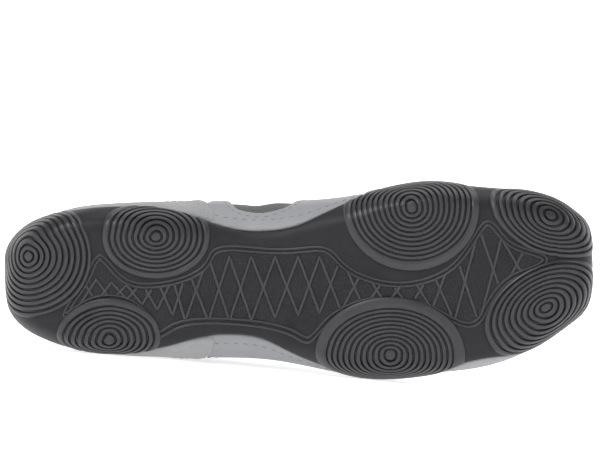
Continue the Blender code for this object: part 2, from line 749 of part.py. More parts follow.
def resting_turn(pieces):
    """The turn that lays the standing shoe on the hull face under its centre of mass."""
    to_row = Matrix(((1, 0, 0, 0), (0, 0, 1, 0), (0, -1, 0, 0), (0, 0, 0, 1)))
    parts = [volume_and_centre(p) for p in pieces]
    centre = Vector(sum(c for _, c in parts) / sum(v for v, _ in parts))
    hull = bmesh.new()
    for piece in pieces:
        for vertex in piece.data.vertices:
            hull.verts.new(vertex.co)
    result = bmesh.ops.convex_hull(hull, input=hull.verts)
    for face in [g for g in result["geom"] if isinstance(g, bmesh.types.BMFace)]:
        faces_out = face.normal.dot(face.calc_center_median() - centre) > 0
        normal = face.normal if faces_out else -face.normal
        if normal.y < LYING_SIDE:
            continue
        corners = [loop.vert.co for loop in face.loops]
        foot = centre + normal * normal.dot(corners[0] - centre)
        turns = []
        for a, b in zip(corners, corners[1:] + corners[:1]):
            turns.append((b - a).cross(foot - a).dot(normal))
        if all(t >= 0 for t in turns) or all(t <= 0 for t in turns):
            down = to_row.to_3x3() @ normal
            turn = down.rotation_difference(Vector((0, 0, -1))).to_matrix().to_4x4()
            hull.free()
            return turn @ to_row
    raise ValueError("the shoe has no hull face under its centre of mass")


def lay_down(pieces):
    """Lays the pieces on the floor, with the origin at the middle of the bottom of their box."""
    turn = resting_turn(pieces)
    for piece in pieces:
        piece.data.transform(turn)
    points = np.array([v.co for piece in pieces for v in piece.data.vertices])
    low, high = points.min(0), points.max(0)
    shift = Matrix.Translation((-(low[0] + high[0]) / 2, -(low[1] + high[1]) / 2, -low[2]))
    for piece in pieces:
        piece.data.transform(shift)
        piece.data.update()
    return shift @ turn


def report_placement(placement):
    """Prints the flat spots under heel and ball, and the sole's axes, as laid down."""
    heel = LUGS["heel_medial"]
    ball = LUGS["ball_medial"]
    half = BALL_WIDTH / 2
    spots = {
        "heel": (heel[0] * LENGTH - HEEL_SPOT_BACK, heel[1] * half + HEEL_SPOT_OUTWARD, 0.0),
        "ball": (ball[0] * LENGTH, ball[1] * half + BALL_SPOT_OUTWARD, 0.0),
    }
    for name, spot in spots.items():
        print("spot", name, [round(c, 6) for c in placement @ Vector(spot)])
    turn = placement.to_3x3()
    print("down", [round(c, 6) for c in turn @ Vector((0, 0, -1))])
    print("toe", [round(c, 6) for c in turn @ Vector((1, 0, 0))])


def main():
    for old in list(bpy.data.objects):
        bpy.data.objects.remove(old)
    pieces = [make_outsole(), make_insole(), make_upper(), make_tongue()]
    pieces += [make_toe_guard(), make_heel_counter(), make_saddle("medial"), make_saddle("lateral")]
    pieces += [make_eyestay(), make_cuff()]
    pieces += make_lacing()
    placement = lay_down(pieces)
    report_placement(placement)
    print("triangles", sum(len(p.data.polygons) for p in pieces))
    return placement


PLACEMENT = main()
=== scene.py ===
# %% [markdown]
# # A left wrestling shoe, lying on its outer side
#
# A wrestling shoe is a light lasted boot: a thin upper of mesh and suede, laced to above the
# ankle, on one moulded rubber sole that wraps up its sides. This lesson builds its looks round the
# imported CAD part. Everything is drawn in the shoe's own coordinates, where x runs from heel to
# toe, +y is the outer side and z is up from the tread, and is laid down at the end of each step.

import json
import math

import bmesh
import bpy
import numpy as np
from mathutils import Matrix, Vector
from mathutils.bvhtree import BVHTree


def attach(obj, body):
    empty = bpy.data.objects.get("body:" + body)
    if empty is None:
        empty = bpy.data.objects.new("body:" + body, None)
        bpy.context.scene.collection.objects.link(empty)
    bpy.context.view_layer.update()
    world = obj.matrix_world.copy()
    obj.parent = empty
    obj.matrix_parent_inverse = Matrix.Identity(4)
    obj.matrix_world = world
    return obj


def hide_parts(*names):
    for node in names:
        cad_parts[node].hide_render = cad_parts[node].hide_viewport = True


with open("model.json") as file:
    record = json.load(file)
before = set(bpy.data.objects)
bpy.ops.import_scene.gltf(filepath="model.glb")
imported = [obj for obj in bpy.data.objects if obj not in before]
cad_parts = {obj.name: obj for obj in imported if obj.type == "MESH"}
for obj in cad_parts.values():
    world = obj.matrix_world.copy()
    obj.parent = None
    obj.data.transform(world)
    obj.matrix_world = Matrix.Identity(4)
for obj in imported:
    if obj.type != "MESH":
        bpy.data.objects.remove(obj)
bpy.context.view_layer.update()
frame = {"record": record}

# %% [markdown]
# ## The last
#
# A shoe takes its shape from a last, a solid foot form on which the upper is pulled tight. Sewn
# covers could be modelled one by one, but then they would never lie on each other. So one form is
# drawn here, as rings from the toe to the collar, and every layer of the shoe is a piece of it,
# moved in or out by its thickness.

# %% The last's sections
LENGTH = 0.274
BALL_WIDTH = 0.0895
INSTEP_HEIGHT = 0.115
COLLAR_HEIGHT = 0.154
TOE_LIFT = 0.018
ARCH_LIFT = 0.0042
SOLE_THICKNESS = 0.0052

# From the toe to the ankle crease: top x, top z, low x, toe lift, arch lift, half width, swing
# outwards, height of the widest point, crown exponent and flat share.
FOOT_SECTIONS = (
    (1.000, 0.205, 1.000, 1.000, 0.00, 0.000, -0.160, 0.50, 2.0, 0.00),
    (0.993, 0.272, 0.993, 0.600, 0.00, 0.365, -0.160, 0.48, 2.2, 0.25),
    (0.972, 0.330, 0.972, 0.345, 0.00, 0.530, -0.154, 0.44, 2.3, 0.44),
    (0.940, 0.380, 0.940, 0.205, 0.00, 0.666, -0.145, 0.39, 2.4, 0.58),
    (0.883, 0.434, 0.883, 0.080, 0.00, 0.825, -0.085, 0.33, 2.4, 0.68),
    (0.806, 0.500, 0.806, 0.000, 0.00, 0.922, -0.030, 0.30, 2.3, 0.73),
    (0.724, 0.578, 0.724, 0.000, 0.00, 0.970, -0.020, 0.28, 2.2, 0.75),
    (0.645, 0.670, 0.630, 0.000, 0.00, 0.950, 0.039, 0.28, 2.2, 0.73),
    (0.578, 0.762, 0.530, 0.000, 0.40, 0.875, 0.045, 0.31, 2.3, 0.60),
    (0.523, 0.846, 0.417, 0.000, 1.00, 0.815, 0.005, 0.34, 2.5, 0.46),
    (0.481, 0.924, 0.300, 0.000, 0.50, 0.800, -0.008, 0.29, 2.7, 0.52),
    (0.449, 1.000, 0.184, 0.000, 0.00, 0.790, -0.010, 0.24, 2.9, 0.66),
)
# From there to above the collar: top x, rise, low x, low z, then the same five.
SHAFT_SECTIONS = (
    (0.430, 0.190, 0.085, 0.034, 0.765, -0.015, 0.26, 3.0, 0.58),
    (0.418, 0.360, 0.013, 0.115, 0.745, -0.020, 0.37, 3.0, 0.36),
    (0.410, 0.520, 0.000, 0.260, 0.730, -0.012, 0.45, 2.9, 0.24),
    (0.405, 0.680, 0.022, 0.480, 0.714, -0.005, 0.48, 2.7, 0.22),
    (0.402, 0.840, 0.044, 0.730, 0.716, 0.000, 0.48, 2.6, 0.22),
    (0.400, 1.000, 0.038, 0.974, 0.742, 0.000, 0.48, 2.5, 0.22),
    (0.398, 1.180, 0.030, 1.190, 0.768, 0.000, 0.48, 2.5, 0.22),
    (0.396, 1.400, 0.028, 1.400, 0.780, 0.000, 0.48, 2.5, 0.22),
)
VAMP_ROW = 6.15
LAST_ROW = len(FOOT_SECTIONS) + len(SHAFT_SECTIONS) - 1
COLLAR_ROW = LAST_ROW - 2
TONGUE_ROW = VAMP_ROW - 0.6


def spline(values, at):
    """Natural cubic through values at 0, 1, 2 ..., read at each of at."""
    values = np.asarray(values, float)
    count = len(values)
    matrix = np.eye(count)
    right = np.zeros(count)
    for i in range(1, count - 1):
        matrix[i, i - 1 : i + 2] = (1, 4, 1)
        right[i] = 6 * (values[i - 1] - 2 * values[i] + values[i + 1])
    bend = np.linalg.solve(matrix, right)
    at = np.asarray(at, float)
    i = np.clip(at.astype(int), 0, count - 2)
    t = at - i
    straight = values[i] * (1 - t) + values[i + 1] * t
    return straight + (bend[i] * ((1 - t) ** 3 - (1 - t)) + bend[i + 1] * (t**3 - t)) / 6


def section_table():
    """Every section in metres: top x and z, low x and z, half width, swing, and three shapes."""
    rows = []
    for top_x, top_z, low_x, toe, arch, *rest in FOOT_SECTIONS:
        low_z = SOLE_THICKNESS + toe * TOE_LIFT + arch * ARCH_LIFT
        rows.append([top_x * LENGTH, top_z * INSTEP_HEIGHT, low_x * LENGTH, low_z] + rest)
    for top_x, rise, low_x, low_z, *rest in SHAFT_SECTIONS:
        top_z = INSTEP_HEIGHT + rise * (COLLAR_HEIGHT - INSTEP_HEIGHT)
        low_z = max(low_z * COLLAR_HEIGHT, SOLE_THICKNESS)
        rows.append([top_x * LENGTH, top_z, low_x * LENGTH, low_z] + rest)
    table = np.array(rows)
    table[:, 4:6] *= BALL_WIDTH / 2
    return table


TABLE = section_table()


def section_at(row):
    """The section's nine values at a row number."""
    return [float(spline(TABLE[:, k], row)) for k in range(TABLE.shape[1])]


# %% [markdown]
# ## From sections to a fine form
#
# Each ring starts at the ridge over the foot, passes the outer side and the flat underneath, and
# comes back up the inner side. Besides its place, each point keeps how far it lies up the shoe and
# round it, in metres. Those two become the UV map, so cloth and suede follow the shoe.

# %% The fine form
CROWN_STEPS = 26
CORNER_STEPS = 18
FLAT_STEPS = 9
HALF_STEPS = CROWN_STEPS + CORNER_STEPS + FLAT_STEPS
TOE_ROWS = (0.06, 0.14, 0.25, 0.4, 0.55, 0.7, 0.85)
ROW_COUNT = 190
CROWN_LEAST = 1.5
FLAT_MOST = 0.95


def half_section(widest, crown, flat):
    """Shares (down from the top, out of the half width) from the ridge to the middle below."""
    crown = max(crown, CROWN_LEAST)
    flat = min(max(flat, 0.0), FLAT_MOST)
    over = 1 - widest
    a = math.pi / 2 * np.arange(CROWN_STEPS) / CROWN_STEPS
    top = np.stack([over * (1 - np.cos(a) ** (2 / crown)), np.sin(a) ** (2 / crown)], 1)
    a = math.pi / 2 * np.arange(CORNER_STEPS + 1) / CORNER_STEPS
    corner = np.stack([over + widest * np.sin(a), flat + (1 - flat) * np.cos(a)], 1)
    share = 1 - np.arange(1, FLAT_STEPS + 1) / FLAT_STEPS
    under = np.stack([np.ones(FLAT_STEPS), flat * share], 1)
    return np.concatenate([top, corner, under])


def ring(row):
    """One closed ring of the form at a row."""
    top_x, top_z, low_x, low_z, half, swing, widest, crown, flat = section_at(row)
    down, out = half_section(widest, crown, flat).T
    x = top_x + (low_x - top_x) * down
    z = top_z + (low_z - top_z) * down
    outer = np.stack([x, swing + half * out, z], 1)
    inner = np.stack([x, swing - half * out, z], 1)
    return np.concatenate([outer, inner[-2:0:-1]])


def outward(grid):
    """Unit normals of a grid of points whose rows close on themselves."""
    along = np.gradient(grid, axis=0)
    around = np.roll(grid, -1, axis=1) - np.roll(grid, 1, axis=1)
    normal = np.cross(around, along)
    return normal / np.maximum(np.linalg.norm(normal, axis=2, keepdims=True), 1e-12)


FORM_ROWS = np.concatenate([TOE_ROWS, np.linspace(1, LAST_ROW, ROW_COUNT)])
FORM = np.array([ring(r) for r in FORM_ROWS])
NORMAL = outward(FORM)
AROUND = FORM.shape[1]
print("form of", FORM.shape[0], "rings of", AROUND, "points")

# %% [markdown]
# ## Creases of wear
#
# Nobody has laced this shoe tight, so the cloth over the toes and round the ankle lies in soft
# folds. They could be sculpted, but placed as troughs and ridges on the form itself they
# carry through every layer, from the mesh to the suede on it. Each one is a line seen from the
# side, with a half width and a depth; a ridge of half that height lies next to the trough.

# %% Creases on the form
# Side, start and end as shares of LENGTH and INSTEP_HEIGHT, half width and depth in metres.
CREASES = (
    ("both", (0.735, 0.30), (0.700, 0.66), 0.0045, 0.0013),
    ("both", (0.690, 0.34), (0.650, 0.74), 0.0040, 0.0010),
    ("lateral", (0.790, 0.33), (0.745, 0.55), 0.0035, 0.0008),
    ("medial", (0.640, 0.30), (0.610, 0.62), 0.0045, 0.0010),
    ("medial", (0.500, 0.62), (0.330, 0.78), 0.0055, 0.0016),
    ("lateral", (0.520, 0.58), (0.350, 0.72), 0.0060, 0.0018),
    ("lateral", (0.400, 0.86), (0.190, 0.80), 0.0055, 0.0017),
    ("medial", (0.410, 0.92), (0.230, 0.88), 0.0050, 0.0014),
    ("both", (0.150, 0.78), (-0.020, 0.72), 0.0050, 0.0013),
    ("both", (0.170, 0.98), (0.010, 0.93), 0.0055, 0.0011),
    ("lateral", (0.360, 1.08), (0.180, 1.02), 0.0060, 0.0012),
    ("medial", (0.200, 1.16), (0.030, 1.12), 0.0060, 0.0010),
    ("lateral", (0.300, 0.52), (0.240, 0.30), 0.0060, 0.0010),
    ("medial", (0.450, 0.48), (0.400, 0.26), 0.0060, 0.0009),
)
RUBBER_WRAP = 0.026
CREASE_BOW = 0.35
CREASE_START = (-0.15, 0.25)
CREASE_END = (0.75, 1.15)
RIDGE_SHARE = 0.5
RIDGE_AWAY = 1.9
SIDE_FADE = 0.012
# Creases fade in over these heights, and over these distances from the ridge.
ABOVE_RUBBER = (0.0156, 0.0256)
OFF_THROAT = (0.0154, 0.022)


def smooth(low, high, value):
    """0 below low, 1 above high, with soft ends."""
    t = np.clip((value - low) / (high - low), 0, 1)
    return t * t * (3 - 2 * t)


def crease_depth(points, middle):
    """How far each point of the form moves along its normal."""
    moved = np.zeros(points.shape[:-1])
    side_view = points[..., [0, 2]]
    for side, start, end, half, depth in CREASES:
        a = np.array([start[0] * LENGTH, start[1] * INSTEP_HEIGHT])
        b = np.array([end[0] * LENGTH, end[1] * INSTEP_HEIGHT])
        along = (b - a) / np.linalg.norm(b - a)
        across = np.array([-along[1], along[0]])
        t = (side_view - a) @ along / np.linalg.norm(b - a)
        bow = CREASE_BOW * half * np.sin(math.pi * 2 * t)
        d = (side_view - a) @ across + bow
        fade = smooth(*CREASE_START, t) * (1 - smooth(*CREASE_END, t))
        if side != "both":
            sign = 1 if side == "lateral" else -1
            fade = fade * smooth(0.0, SIDE_FADE, sign * (points[..., 1] - middle))
        ridge = np.exp(-(((d - RIDGE_AWAY * half) / half) ** 2))
        moved += depth * fade * (RIDGE_SHARE * ridge - np.exp(-((d / half) ** 2)))
    return moved


middle = np.array([section_at(r)[5] for r in FORM_ROWS])[:, None]
above_rubber = smooth(*ABOVE_RUBBER, FORM[..., 2])
off_throat = smooth(*OFF_THROAT, np.abs(FORM[..., 1] - middle))
before_throat = 1 - smooth(VAMP_ROW - 0.5, VAMP_ROW, FORM_ROWS)[:, None]
quiet = np.maximum(off_throat, before_throat)
CREASED = FORM + NORMAL * (crease_depth(FORM, middle) * above_rubber * quiet)[..., None]
CREASED_NORMAL = outward(CREASED)
print("deepest crease", round(float(np.abs(CREASED - FORM).max()) * 1000, 2), "mm")

# %% [markdown]
# ## Laying the shoe down
#
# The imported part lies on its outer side. Its two flat spots under heel and ball are mounts in the
# record, and tell how the standing shoe was turned, so nothing has to be measured from a mesh.

# %% The lying place
LUGS = {
    "heel": (0.029, -0.255, 0.102, 0.102, 0.0),
    "heel_medial": (0.251, -0.456, 0.092, 0.071, 0.0),
    "heel_lateral": (0.169, 0.612, 0.087, 0.065, 0.0),
    "ball_medial": (0.693, -0.775, 0.115, 0.106, 0.0),
    "ball_lateral": (0.659, 0.786, 0.127, 0.096, 0.0),
    "toe_medial": (0.935, -0.690, 0.105, 0.062, 20.0),
    "toe_lateral": (0.930, 0.297, 0.112, 0.070, -30.0),
}
HEEL_SPOT_BACK = 0.0123
HEEL_SPOT_OUTWARD = 0.0064
BALL_SPOT_OUTWARD = 0.012


def lying_matrix():
    """The move from the standing shoe to the lying one, from the record's two flat spots."""
    mounts = {m["name"]: m for m in frame["record"]["mounts"]}
    half = BALL_WIDTH / 2
    heel, ball = LUGS["heel_medial"], LUGS["ball_medial"]
    heel_spot = Vector((heel[0] * LENGTH - HEEL_SPOT_BACK, heel[1] * half + HEEL_SPOT_OUTWARD, 0.0))
    ball_spot = Vector((ball[0] * LENGTH, ball[1] * half + BALL_SPOT_OUTWARD, 0.0))
    up = -Vector(mounts["heel_flat"]["axis"]).normalized()
    laid_heel = Vector(mounts["heel_flat"]["pos_m"])
    run = Vector(mounts["ball_flat"]["pos_m"]) - laid_heel
    run = (run - up * run.dot(up)).normalized()
    drawn = (ball_spot - heel_spot).normalized()
    cross = up.cross(run)
    toe = run * drawn.x - cross * drawn.y
    outer = up.cross(toe)
    turn = Matrix((toe, outer, up)).transposed()
    return Matrix.Translation(laid_heel - turn @ heel_spot) @ turn.to_4x4()


LIE = lying_matrix()
print("toe points to", [round(c, 4) for c in LIE.to_3x3() @ Vector((1, 0, 0))])

# %% [markdown]
# ## Patches
#
# A cobbler cuts each panel from a hide and sews it on the last. A patch here is the same: a part
# of the form's surface, cut along curves. Booleans could cut it, but they leave ragged shading on
# fine meshes. Instead, each curve is a field, positive inside, and every face that the curve
# crosses is cut in two. A patch then gets an inside and an outside and becomes a closed sheet,
# with an edge as round as its thickness profile says.

# %% The patch tool
FAR = 0.09
TINY = 1e-7
SHARP_ANGLE = math.radians(55)


def path_lengths(points):
    """Distances along a grid's first axis."""
    steps = np.linalg.norm(np.diff(points, axis=0), axis=-1)
    return np.concatenate([np.zeros_like(steps[:1]), np.cumsum(steps, axis=0)])


RIDGE_LENGTH = path_lengths(FORM[:, 0])
ROUND_LENGTH = path_lengths(np.swapaxes(np.concatenate([FORM, FORM[:, :1]], 1), 0, 1)).T
UNDER_LENGTH = path_lengths(FORM[:, HALF_STEPS])


def form_quads():
    """The form's faces, ring after ring."""
    faces = []
    for r in range(len(FORM) - 1):
        for i in range(AROUND):
            a, b = r * AROUND + i, r * AROUND + (i + 1) % AROUND
            faces.append((a, b, b + AROUND, a + AROUND))
    return faces


def form_patch(creased=True):
    """The whole form's surface as columns of point, normal and place, and its faces."""
    grid, normal = (CREASED, CREASED_NORMAL) if creased else (FORM, NORMAL)
    rows = len(grid)
    table = np.array([section_at(r) for r in FORM_ROWS])
    k = np.arange(AROUND)
    steps = np.minimum(k, AROUND - k)
    half_way = ROUND_LENGTH[:, HALF_STEPS : HALF_STEPS + 1]
    from_under = np.abs(ROUND_LENGTH[:, :AROUND] - half_way)
    flat_half = table[:, 4] * np.clip(table[:, 8], 0, 1)
    columns = {
        "point": grid,
        "normal": normal,
        "ridge": np.repeat(RIDGE_LENGTH[:, None], AROUND, 1),
        "y": FORM[..., 1] - table[:, 5:6],
        "under": from_under,
        "flat": np.repeat(flat_half[:, None], AROUND, 1),
        "row": np.repeat(FORM_ROWS[:, None], AROUND, 1),
        "crown": np.repeat((CROWN_STEPS - steps)[None, :].astype(float), rows, 0),
        "round": from_under * np.where(k <= HALF_STEPS, 1, -1),
    }
    flat = {name: c.reshape(rows * AROUND, *c.shape[2:]) for name, c in columns.items()}
    tip_x, tip_z, _, _, _, swing, _, _, _ = section_at(0)
    tip = {name: c[0].copy() for name, c in flat.items()}
    tip.update(point=np.array([tip_x, swing, tip_z]), normal=np.array([1.0, 0.0, 0.0]))
    tip.update(y=0.0, round=0.0, ridge=0.0)
    flat = {name: np.concatenate([c, np.asarray(tip[name])[None]]) for name, c in flat.items()}
    last = rows * AROUND
    return Patch(flat, form_quads() + [(last, (i + 1) % AROUND, i) for i in range(AROUND)])


class Patch:
    """A piece of surface: columns of values for its points, and faces."""

    def __init__(self, columns, faces):
        self.columns = columns
        self.faces = faces

    def __getitem__(self, name):
        return self.columns[name]

    def split(self, field, level=0.0, keep_outside=False):
        """Cuts all faces where field passes level, and drops those below it unless told not to."""
        value = field - level
        value[np.abs(value) < TINY] = TINY
        inside = value > 0
        cuts, pairs, shares, faces = {}, [], [], []
        base = len(value)

        def crossing(a, b):
            key = (a, b) if a < b else (b, a)
            if key not in cuts:
                cuts[key] = base + len(pairs)
                pairs.append(key)
                shares.append(value[key[0]] / (value[key[0]] - value[key[1]]))
            return cuts[key]

        for face in self.faces:
            states = [bool(inside[v]) for v in face]
            if all(states):
                faces.append(face)
                continue
            if not any(states):
                if keep_outside:
                    faces.append(face)
                continue
            parts = {True: [], False: []}
            for a, b, sa, sb in zip(face, face[1:] + face[:1], states, states[1:] + states[:1]):
                parts[sa].append(a)
                if sa != sb:
                    c = crossing(a, b)
                    parts[True].append(c)
                    parts[False].append(c)
            faces.append(tuple(parts[True]))
            if keep_outside:
                faces.append(tuple(parts[False]))
        if pairs:
            first, second = np.array(pairs).T
            t = np.array(shares)
            for name, c in self.columns.items():
                w = t.reshape(-1, *([1] * (c.ndim - 1)))
                self.columns[name] = np.concatenate([c, c[first] * (1 - w) + c[second] * w])
        used = sorted({v for f in faces for v in f})
        index = {v: i for i, v in enumerate(used)}
        self.faces = [tuple(index[v] for v in f) for f in faces if len(f) > 2]
        self.columns = {name: c[used] for name, c in self.columns.items()}

    def keep(self, *fields, rims=()):
        """Keeps the part where every field is positive; edge is the distance to the nearest."""
        names = [f"field{k}" for k in range(len(fields))]
        for name, field in zip(names, fields):
            self.columns[name] = field(self)
        for name in names:
            self.split(self.columns[name])
        self.columns["edge"] = np.min([self.columns[n] for n in names], axis=0)
        for level in rims:
            self.split(self.columns["edge"], level, keep_outside=True)
        self.columns["edge"] = np.maximum(self.columns["edge"], 0)
        for name in names:
            del self.columns[name]
        return self

    def closed(self, name, low, high):
        """An object between two distances from the form, with walls round its edge."""
        normal = self["normal"] / np.linalg.norm(self["normal"], axis=1, keepdims=True)
        top = self["point"] + normal * np.broadcast_to(high, len(normal))[:, None]
        bottom = self["point"] + normal * np.broadcast_to(low, len(normal))[:, None]
        count = len(normal)
        faces = list(self.faces) + [tuple(v + count for v in reversed(f)) for f in self.faces]
        edges = {}
        for f in self.faces:
            for a, b in zip(f, f[1:] + f[:1]):
                edges[(a, b)] = edges.get((a, b), 0) + 1
        for a, b in edges:
            if (b, a) not in edges:
                faces.append((b, a, a + count, b + count))
        uv = np.stack([self["ridge"], self["round"]], 1)
        return add_mesh(name, np.concatenate([top, bottom]), faces, np.concatenate([uv, uv]))


def new_object(name, data):
    """An object of a mesh, light or camera, put in the scene."""
    made = bpy.data.objects.new(name, data)
    bpy.context.scene.collection.objects.link(made)
    return made


def give_values(mesh, label, values):
    """A number or a direction for each point, which materials and node trees can read."""
    values = np.asarray(values, np.float32)
    kind, field = ("FLOAT", "value") if values.ndim == 1 else ("FLOAT_VECTOR", "vector")
    mesh.attributes.new(label, kind, "POINT").data.foreach_set(field, values.ravel())


def add_mesh(name, points, faces, uv):
    """A smooth-shaded object from points in the shoe's coordinates, laid down."""
    mesh = bpy.data.meshes.new(name)
    mesh.from_pydata([tuple(p) for p in points], [], faces)
    layer = mesh.uv_layers.new(name="surface")
    at = np.empty(len(mesh.loops), int)
    mesh.loops.foreach_get("vertex_index", at)
    layer.data.foreach_set("uv", np.asarray(uv)[at].astype(np.float32).ravel())
    mesh.transform(LIE)
    mesh.validate()
    mesh.shade_smooth()
    mesh.set_sharp_from_angle(angle=SHARP_ANGLE)
    return new_object(name, mesh)


def finish_piece(piece, finish, nodes=()):
    """Gives a piece its finish and its body, and hides the CAD nodes it stands for."""
    piece.data.materials.clear()
    piece.data.materials.append(finish)
    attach(piece, "root")
    if nodes:
        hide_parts(*nodes)
    triangles = sum(len(p.vertices) - 2 for p in piece.data.polygons)
    print(piece.name, triangles, "triangles")
    return piece


# %% [markdown]
# ## Shared surface effects
#
# Rubber, suede and leather all have a grain, and cloth a weave. Each effect is one node group,
# built once and placed in the materials with its own sizes, so that a change reaches all of them.

# %% Node groups
def new_group(name, kind, inputs, outputs):
    """An empty node group with named sockets, and its two ends."""
    group = bpy.data.node_groups.new(name, kind)
    for in_out, sockets in (("INPUT", inputs), ("OUTPUT", outputs)):
        for label, value_kind, *default in sockets:
            socket = group.interface.new_socket(
                name=label, in_out=in_out, socket_type=f"NodeSocket{value_kind}"
            )
            if default:
                socket.default_value = default[0]
    into = group.nodes.new("NodeGroupInput").outputs
    return group, into, group.nodes.new("NodeGroupOutput").inputs


def node(tree, kind, links=(), **settings):
    """A node with its settings, and (input, source socket or value) pairs."""
    made = tree.nodes.new(kind)
    for key, value in settings.items():
        setattr(made, key, value)
    for socket, source in links:
        if isinstance(source, bpy.types.NodeSocket):
            tree.links.new(source, made.inputs[socket])
        else:
            made.inputs[socket].default_value = source
    return made


def maths(tree, operation, *values):
    """A maths node's result on sockets or numbers."""
    return node(tree, "ShaderNodeMath", enumerate(values), operation=operation).outputs[0]


def ranged(tree, value, low, high, to_low=0.0, to_high=1.0):
    """A value carried from one range to another, and held inside it."""
    links = ((0, value), (1, low), (2, high), (3, to_low), (4, to_high))
    return node(tree, "ShaderNodeMapRange", links).outputs[0]


def noise(tree, where, scale, detail, roughness=0.5):
    """Soft noise from 0 to 1."""
    links = (("Vector", where), ("Scale", scale), ("Detail", detail), ("Roughness", roughness))
    return node(tree, "ShaderNodeTexNoise", links).outputs[0]


def mixed(tree, share, low, high):
    """A colour between two."""
    links = ((0, share), (6, low), (7, high))
    return node(tree, "ShaderNodeMix", links, data_type="RGBA").outputs[2]


def bumped(tree, distance, height, *normal, invert=False):
    """A normal tilted by a height, on top of another normal where one is given."""
    links = [("Strength", 1.0), ("Distance", distance), ("Height", height)]
    links += [("Normal", n) for n in normal]
    return node(tree, "ShaderNodeBump", links, invert=invert).outputs[0]


BROAD_SHARE = 0.06
FLECK_TIMES = 25.0
MOTTLE_RANGE = (0.35, 0.65)
HOLE_RANGE = (0.45, 0.85)


def grain_group():
    """Fine pebbles and a soft unevenness below them, as a normal."""
    inputs = (
        ("Vector", "Vector"), ("Scale", "Float", 900.0), ("Depth", "Float", 0.0002),
        ("Unevenness", "Float", 0.0004),
    )
    tree, into, out = new_group("Grain", "ShaderNodeTree", inputs, (("Normal", "Vector"),))
    fine = noise(tree, into["Vector"], into["Scale"], 3.0, 0.65)
    broad_scale = maths(tree, "MULTIPLY", into["Scale"], BROAD_SHARE)
    broad = noise(tree, into["Vector"], broad_scale, 2.0)
    low = bumped(tree, into["Unevenness"], broad)
    tree.links.new(bumped(tree, into["Depth"], fine, low), out["Normal"])
    return tree


def mottle_group():
    """Two tones of a finish in soft patches with a fine fleck."""
    inputs = (
        ("Vector", "Vector"), ("Light", "Color", (0.5, 0.5, 0.5, 1)),
        ("Dark", "Color", (0.3, 0.3, 0.3, 1)), ("Scale", "Float", 40.0), ("Fleck", "Float", 0.3),
    )
    tree, into, out = new_group("Mottle", "ShaderNodeTree", inputs, (("Color", "Color"),))
    patches = noise(tree, into["Vector"], into["Scale"], 5.0, 0.6)
    flecks = noise(tree, into["Vector"], maths(tree, "MULTIPLY", into["Scale"], FLECK_TIMES), 1.0)
    links = ((0, into["Fleck"]), (2, patches), (3, flecks))
    both = node(tree, "ShaderNodeMix", links, data_type="FLOAT").outputs[0]
    share = ranged(tree, both, *MOTTLE_RANGE)
    tree.links.new(mixed(tree, share, into["Dark"], into["Light"]), out["Color"])
    return tree


def weave_group():
    """Threads over and under each other: a height, and a mask of the holes between them."""
    inputs = (("Vector", "Vector"), ("Pitch", "Float", 0.0016))
    outputs = (("Height", "Float"), ("Holes", "Float"))
    tree, into, out = new_group("Weave", "ShaderNodeTree", inputs, outputs)
    parts = node(tree, "ShaderNodeSeparateXYZ", ((0, into["Vector"]),)).outputs
    waves = []
    for axis in (0, 1):
        turns = maths(tree, "DIVIDE", parts[axis], into["Pitch"])
        waves.append(maths(tree, "SINE", maths(tree, "MULTIPLY", turns, 2 * math.pi)))
    product = maths(tree, "MULTIPLY", *waves)
    tree.links.new(ranged(tree, product, -1.0, 1.0), out["Height"])
    tree.links.new(ranged(tree, product, *HOLE_RANGE), out["Holes"])
    return tree


GRAIN = grain_group()
MOTTLE = mottle_group()
WEAVE = weave_group()
print("node groups", [g.name for g in (GRAIN, MOTTLE, WEAVE)])

# %% [markdown]
# ## The finishes
#
# The rubber is a dark carbon compound with a slight sheen. The overlays are suede, whose nap
# scatters light, and the bands at the waist are a coated leather with a finer grain and a soft
# gloss. The body of the upper is a dark mesh.

# %% Materials
SHEEN_ROUGHNESS = 0.5
COAT_ROUGHNESS = 0.35
# Near black for the painted shade in the lugs' ring grooves.
GROOVE_SHADE_COLOUR = (0.013, 0.013, 0.014, 1)
DOT_SCALE = 900.0
DOT_SCATTER = 0.3
DOT_HEIGHT = 0.0005
DOT_FADE = 0.0006
WEAVE_HEIGHT = 0.0004
WEAVE_SHADE = 0.75


def start_material(name, roughness, sheen=0.0, coat=0.0, specular=0.5):
    """A material, its tree, its shader's inputs and its texture coordinates."""
    made = bpy.data.materials.new(name)
    made.use_nodes = True
    tree = made.node_tree
    shader = tree.nodes["Principled BSDF"].inputs
    values = (
        ("Roughness", roughness), ("Specular IOR Level", specular), ("Sheen Weight", sheen),
        ("Sheen Roughness", SHEEN_ROUGHNESS), ("Coat Weight", coat),
        ("Coat Roughness", COAT_ROUGHNESS),
    )
    for label, value in values:
        shader[label].default_value = value
    return made, tree, shader, tree.nodes.new("ShaderNodeTexCoord").outputs


def place_group(tree, group, **values):
    """The outputs of a group node whose inputs are sockets or plain values."""
    return node(tree, "ShaderNodeGroup", values.items(), node_tree=group).outputs


def grained_material(name, light, dark, roughness, scale, depth, uneven, mottle, fleck, **gloss):
    """A finish of one colour in two tones, with a grain."""
    made, tree, shader, coordinates = start_material(name, roughness, **gloss)
    where = coordinates["Object"]
    colour = place_group(
        tree, MOTTLE, Vector=where, Light=(*light, 1), Dark=(*dark, 1), Scale=mottle, Fleck=fleck
    )
    grain = place_group(tree, GRAIN, Vector=where, Scale=scale, Depth=depth, Unevenness=uneven)
    tree.links.new(colour["Color"], shader["Base Color"])
    tree.links.new(grain["Normal"], shader["Normal"])
    return made


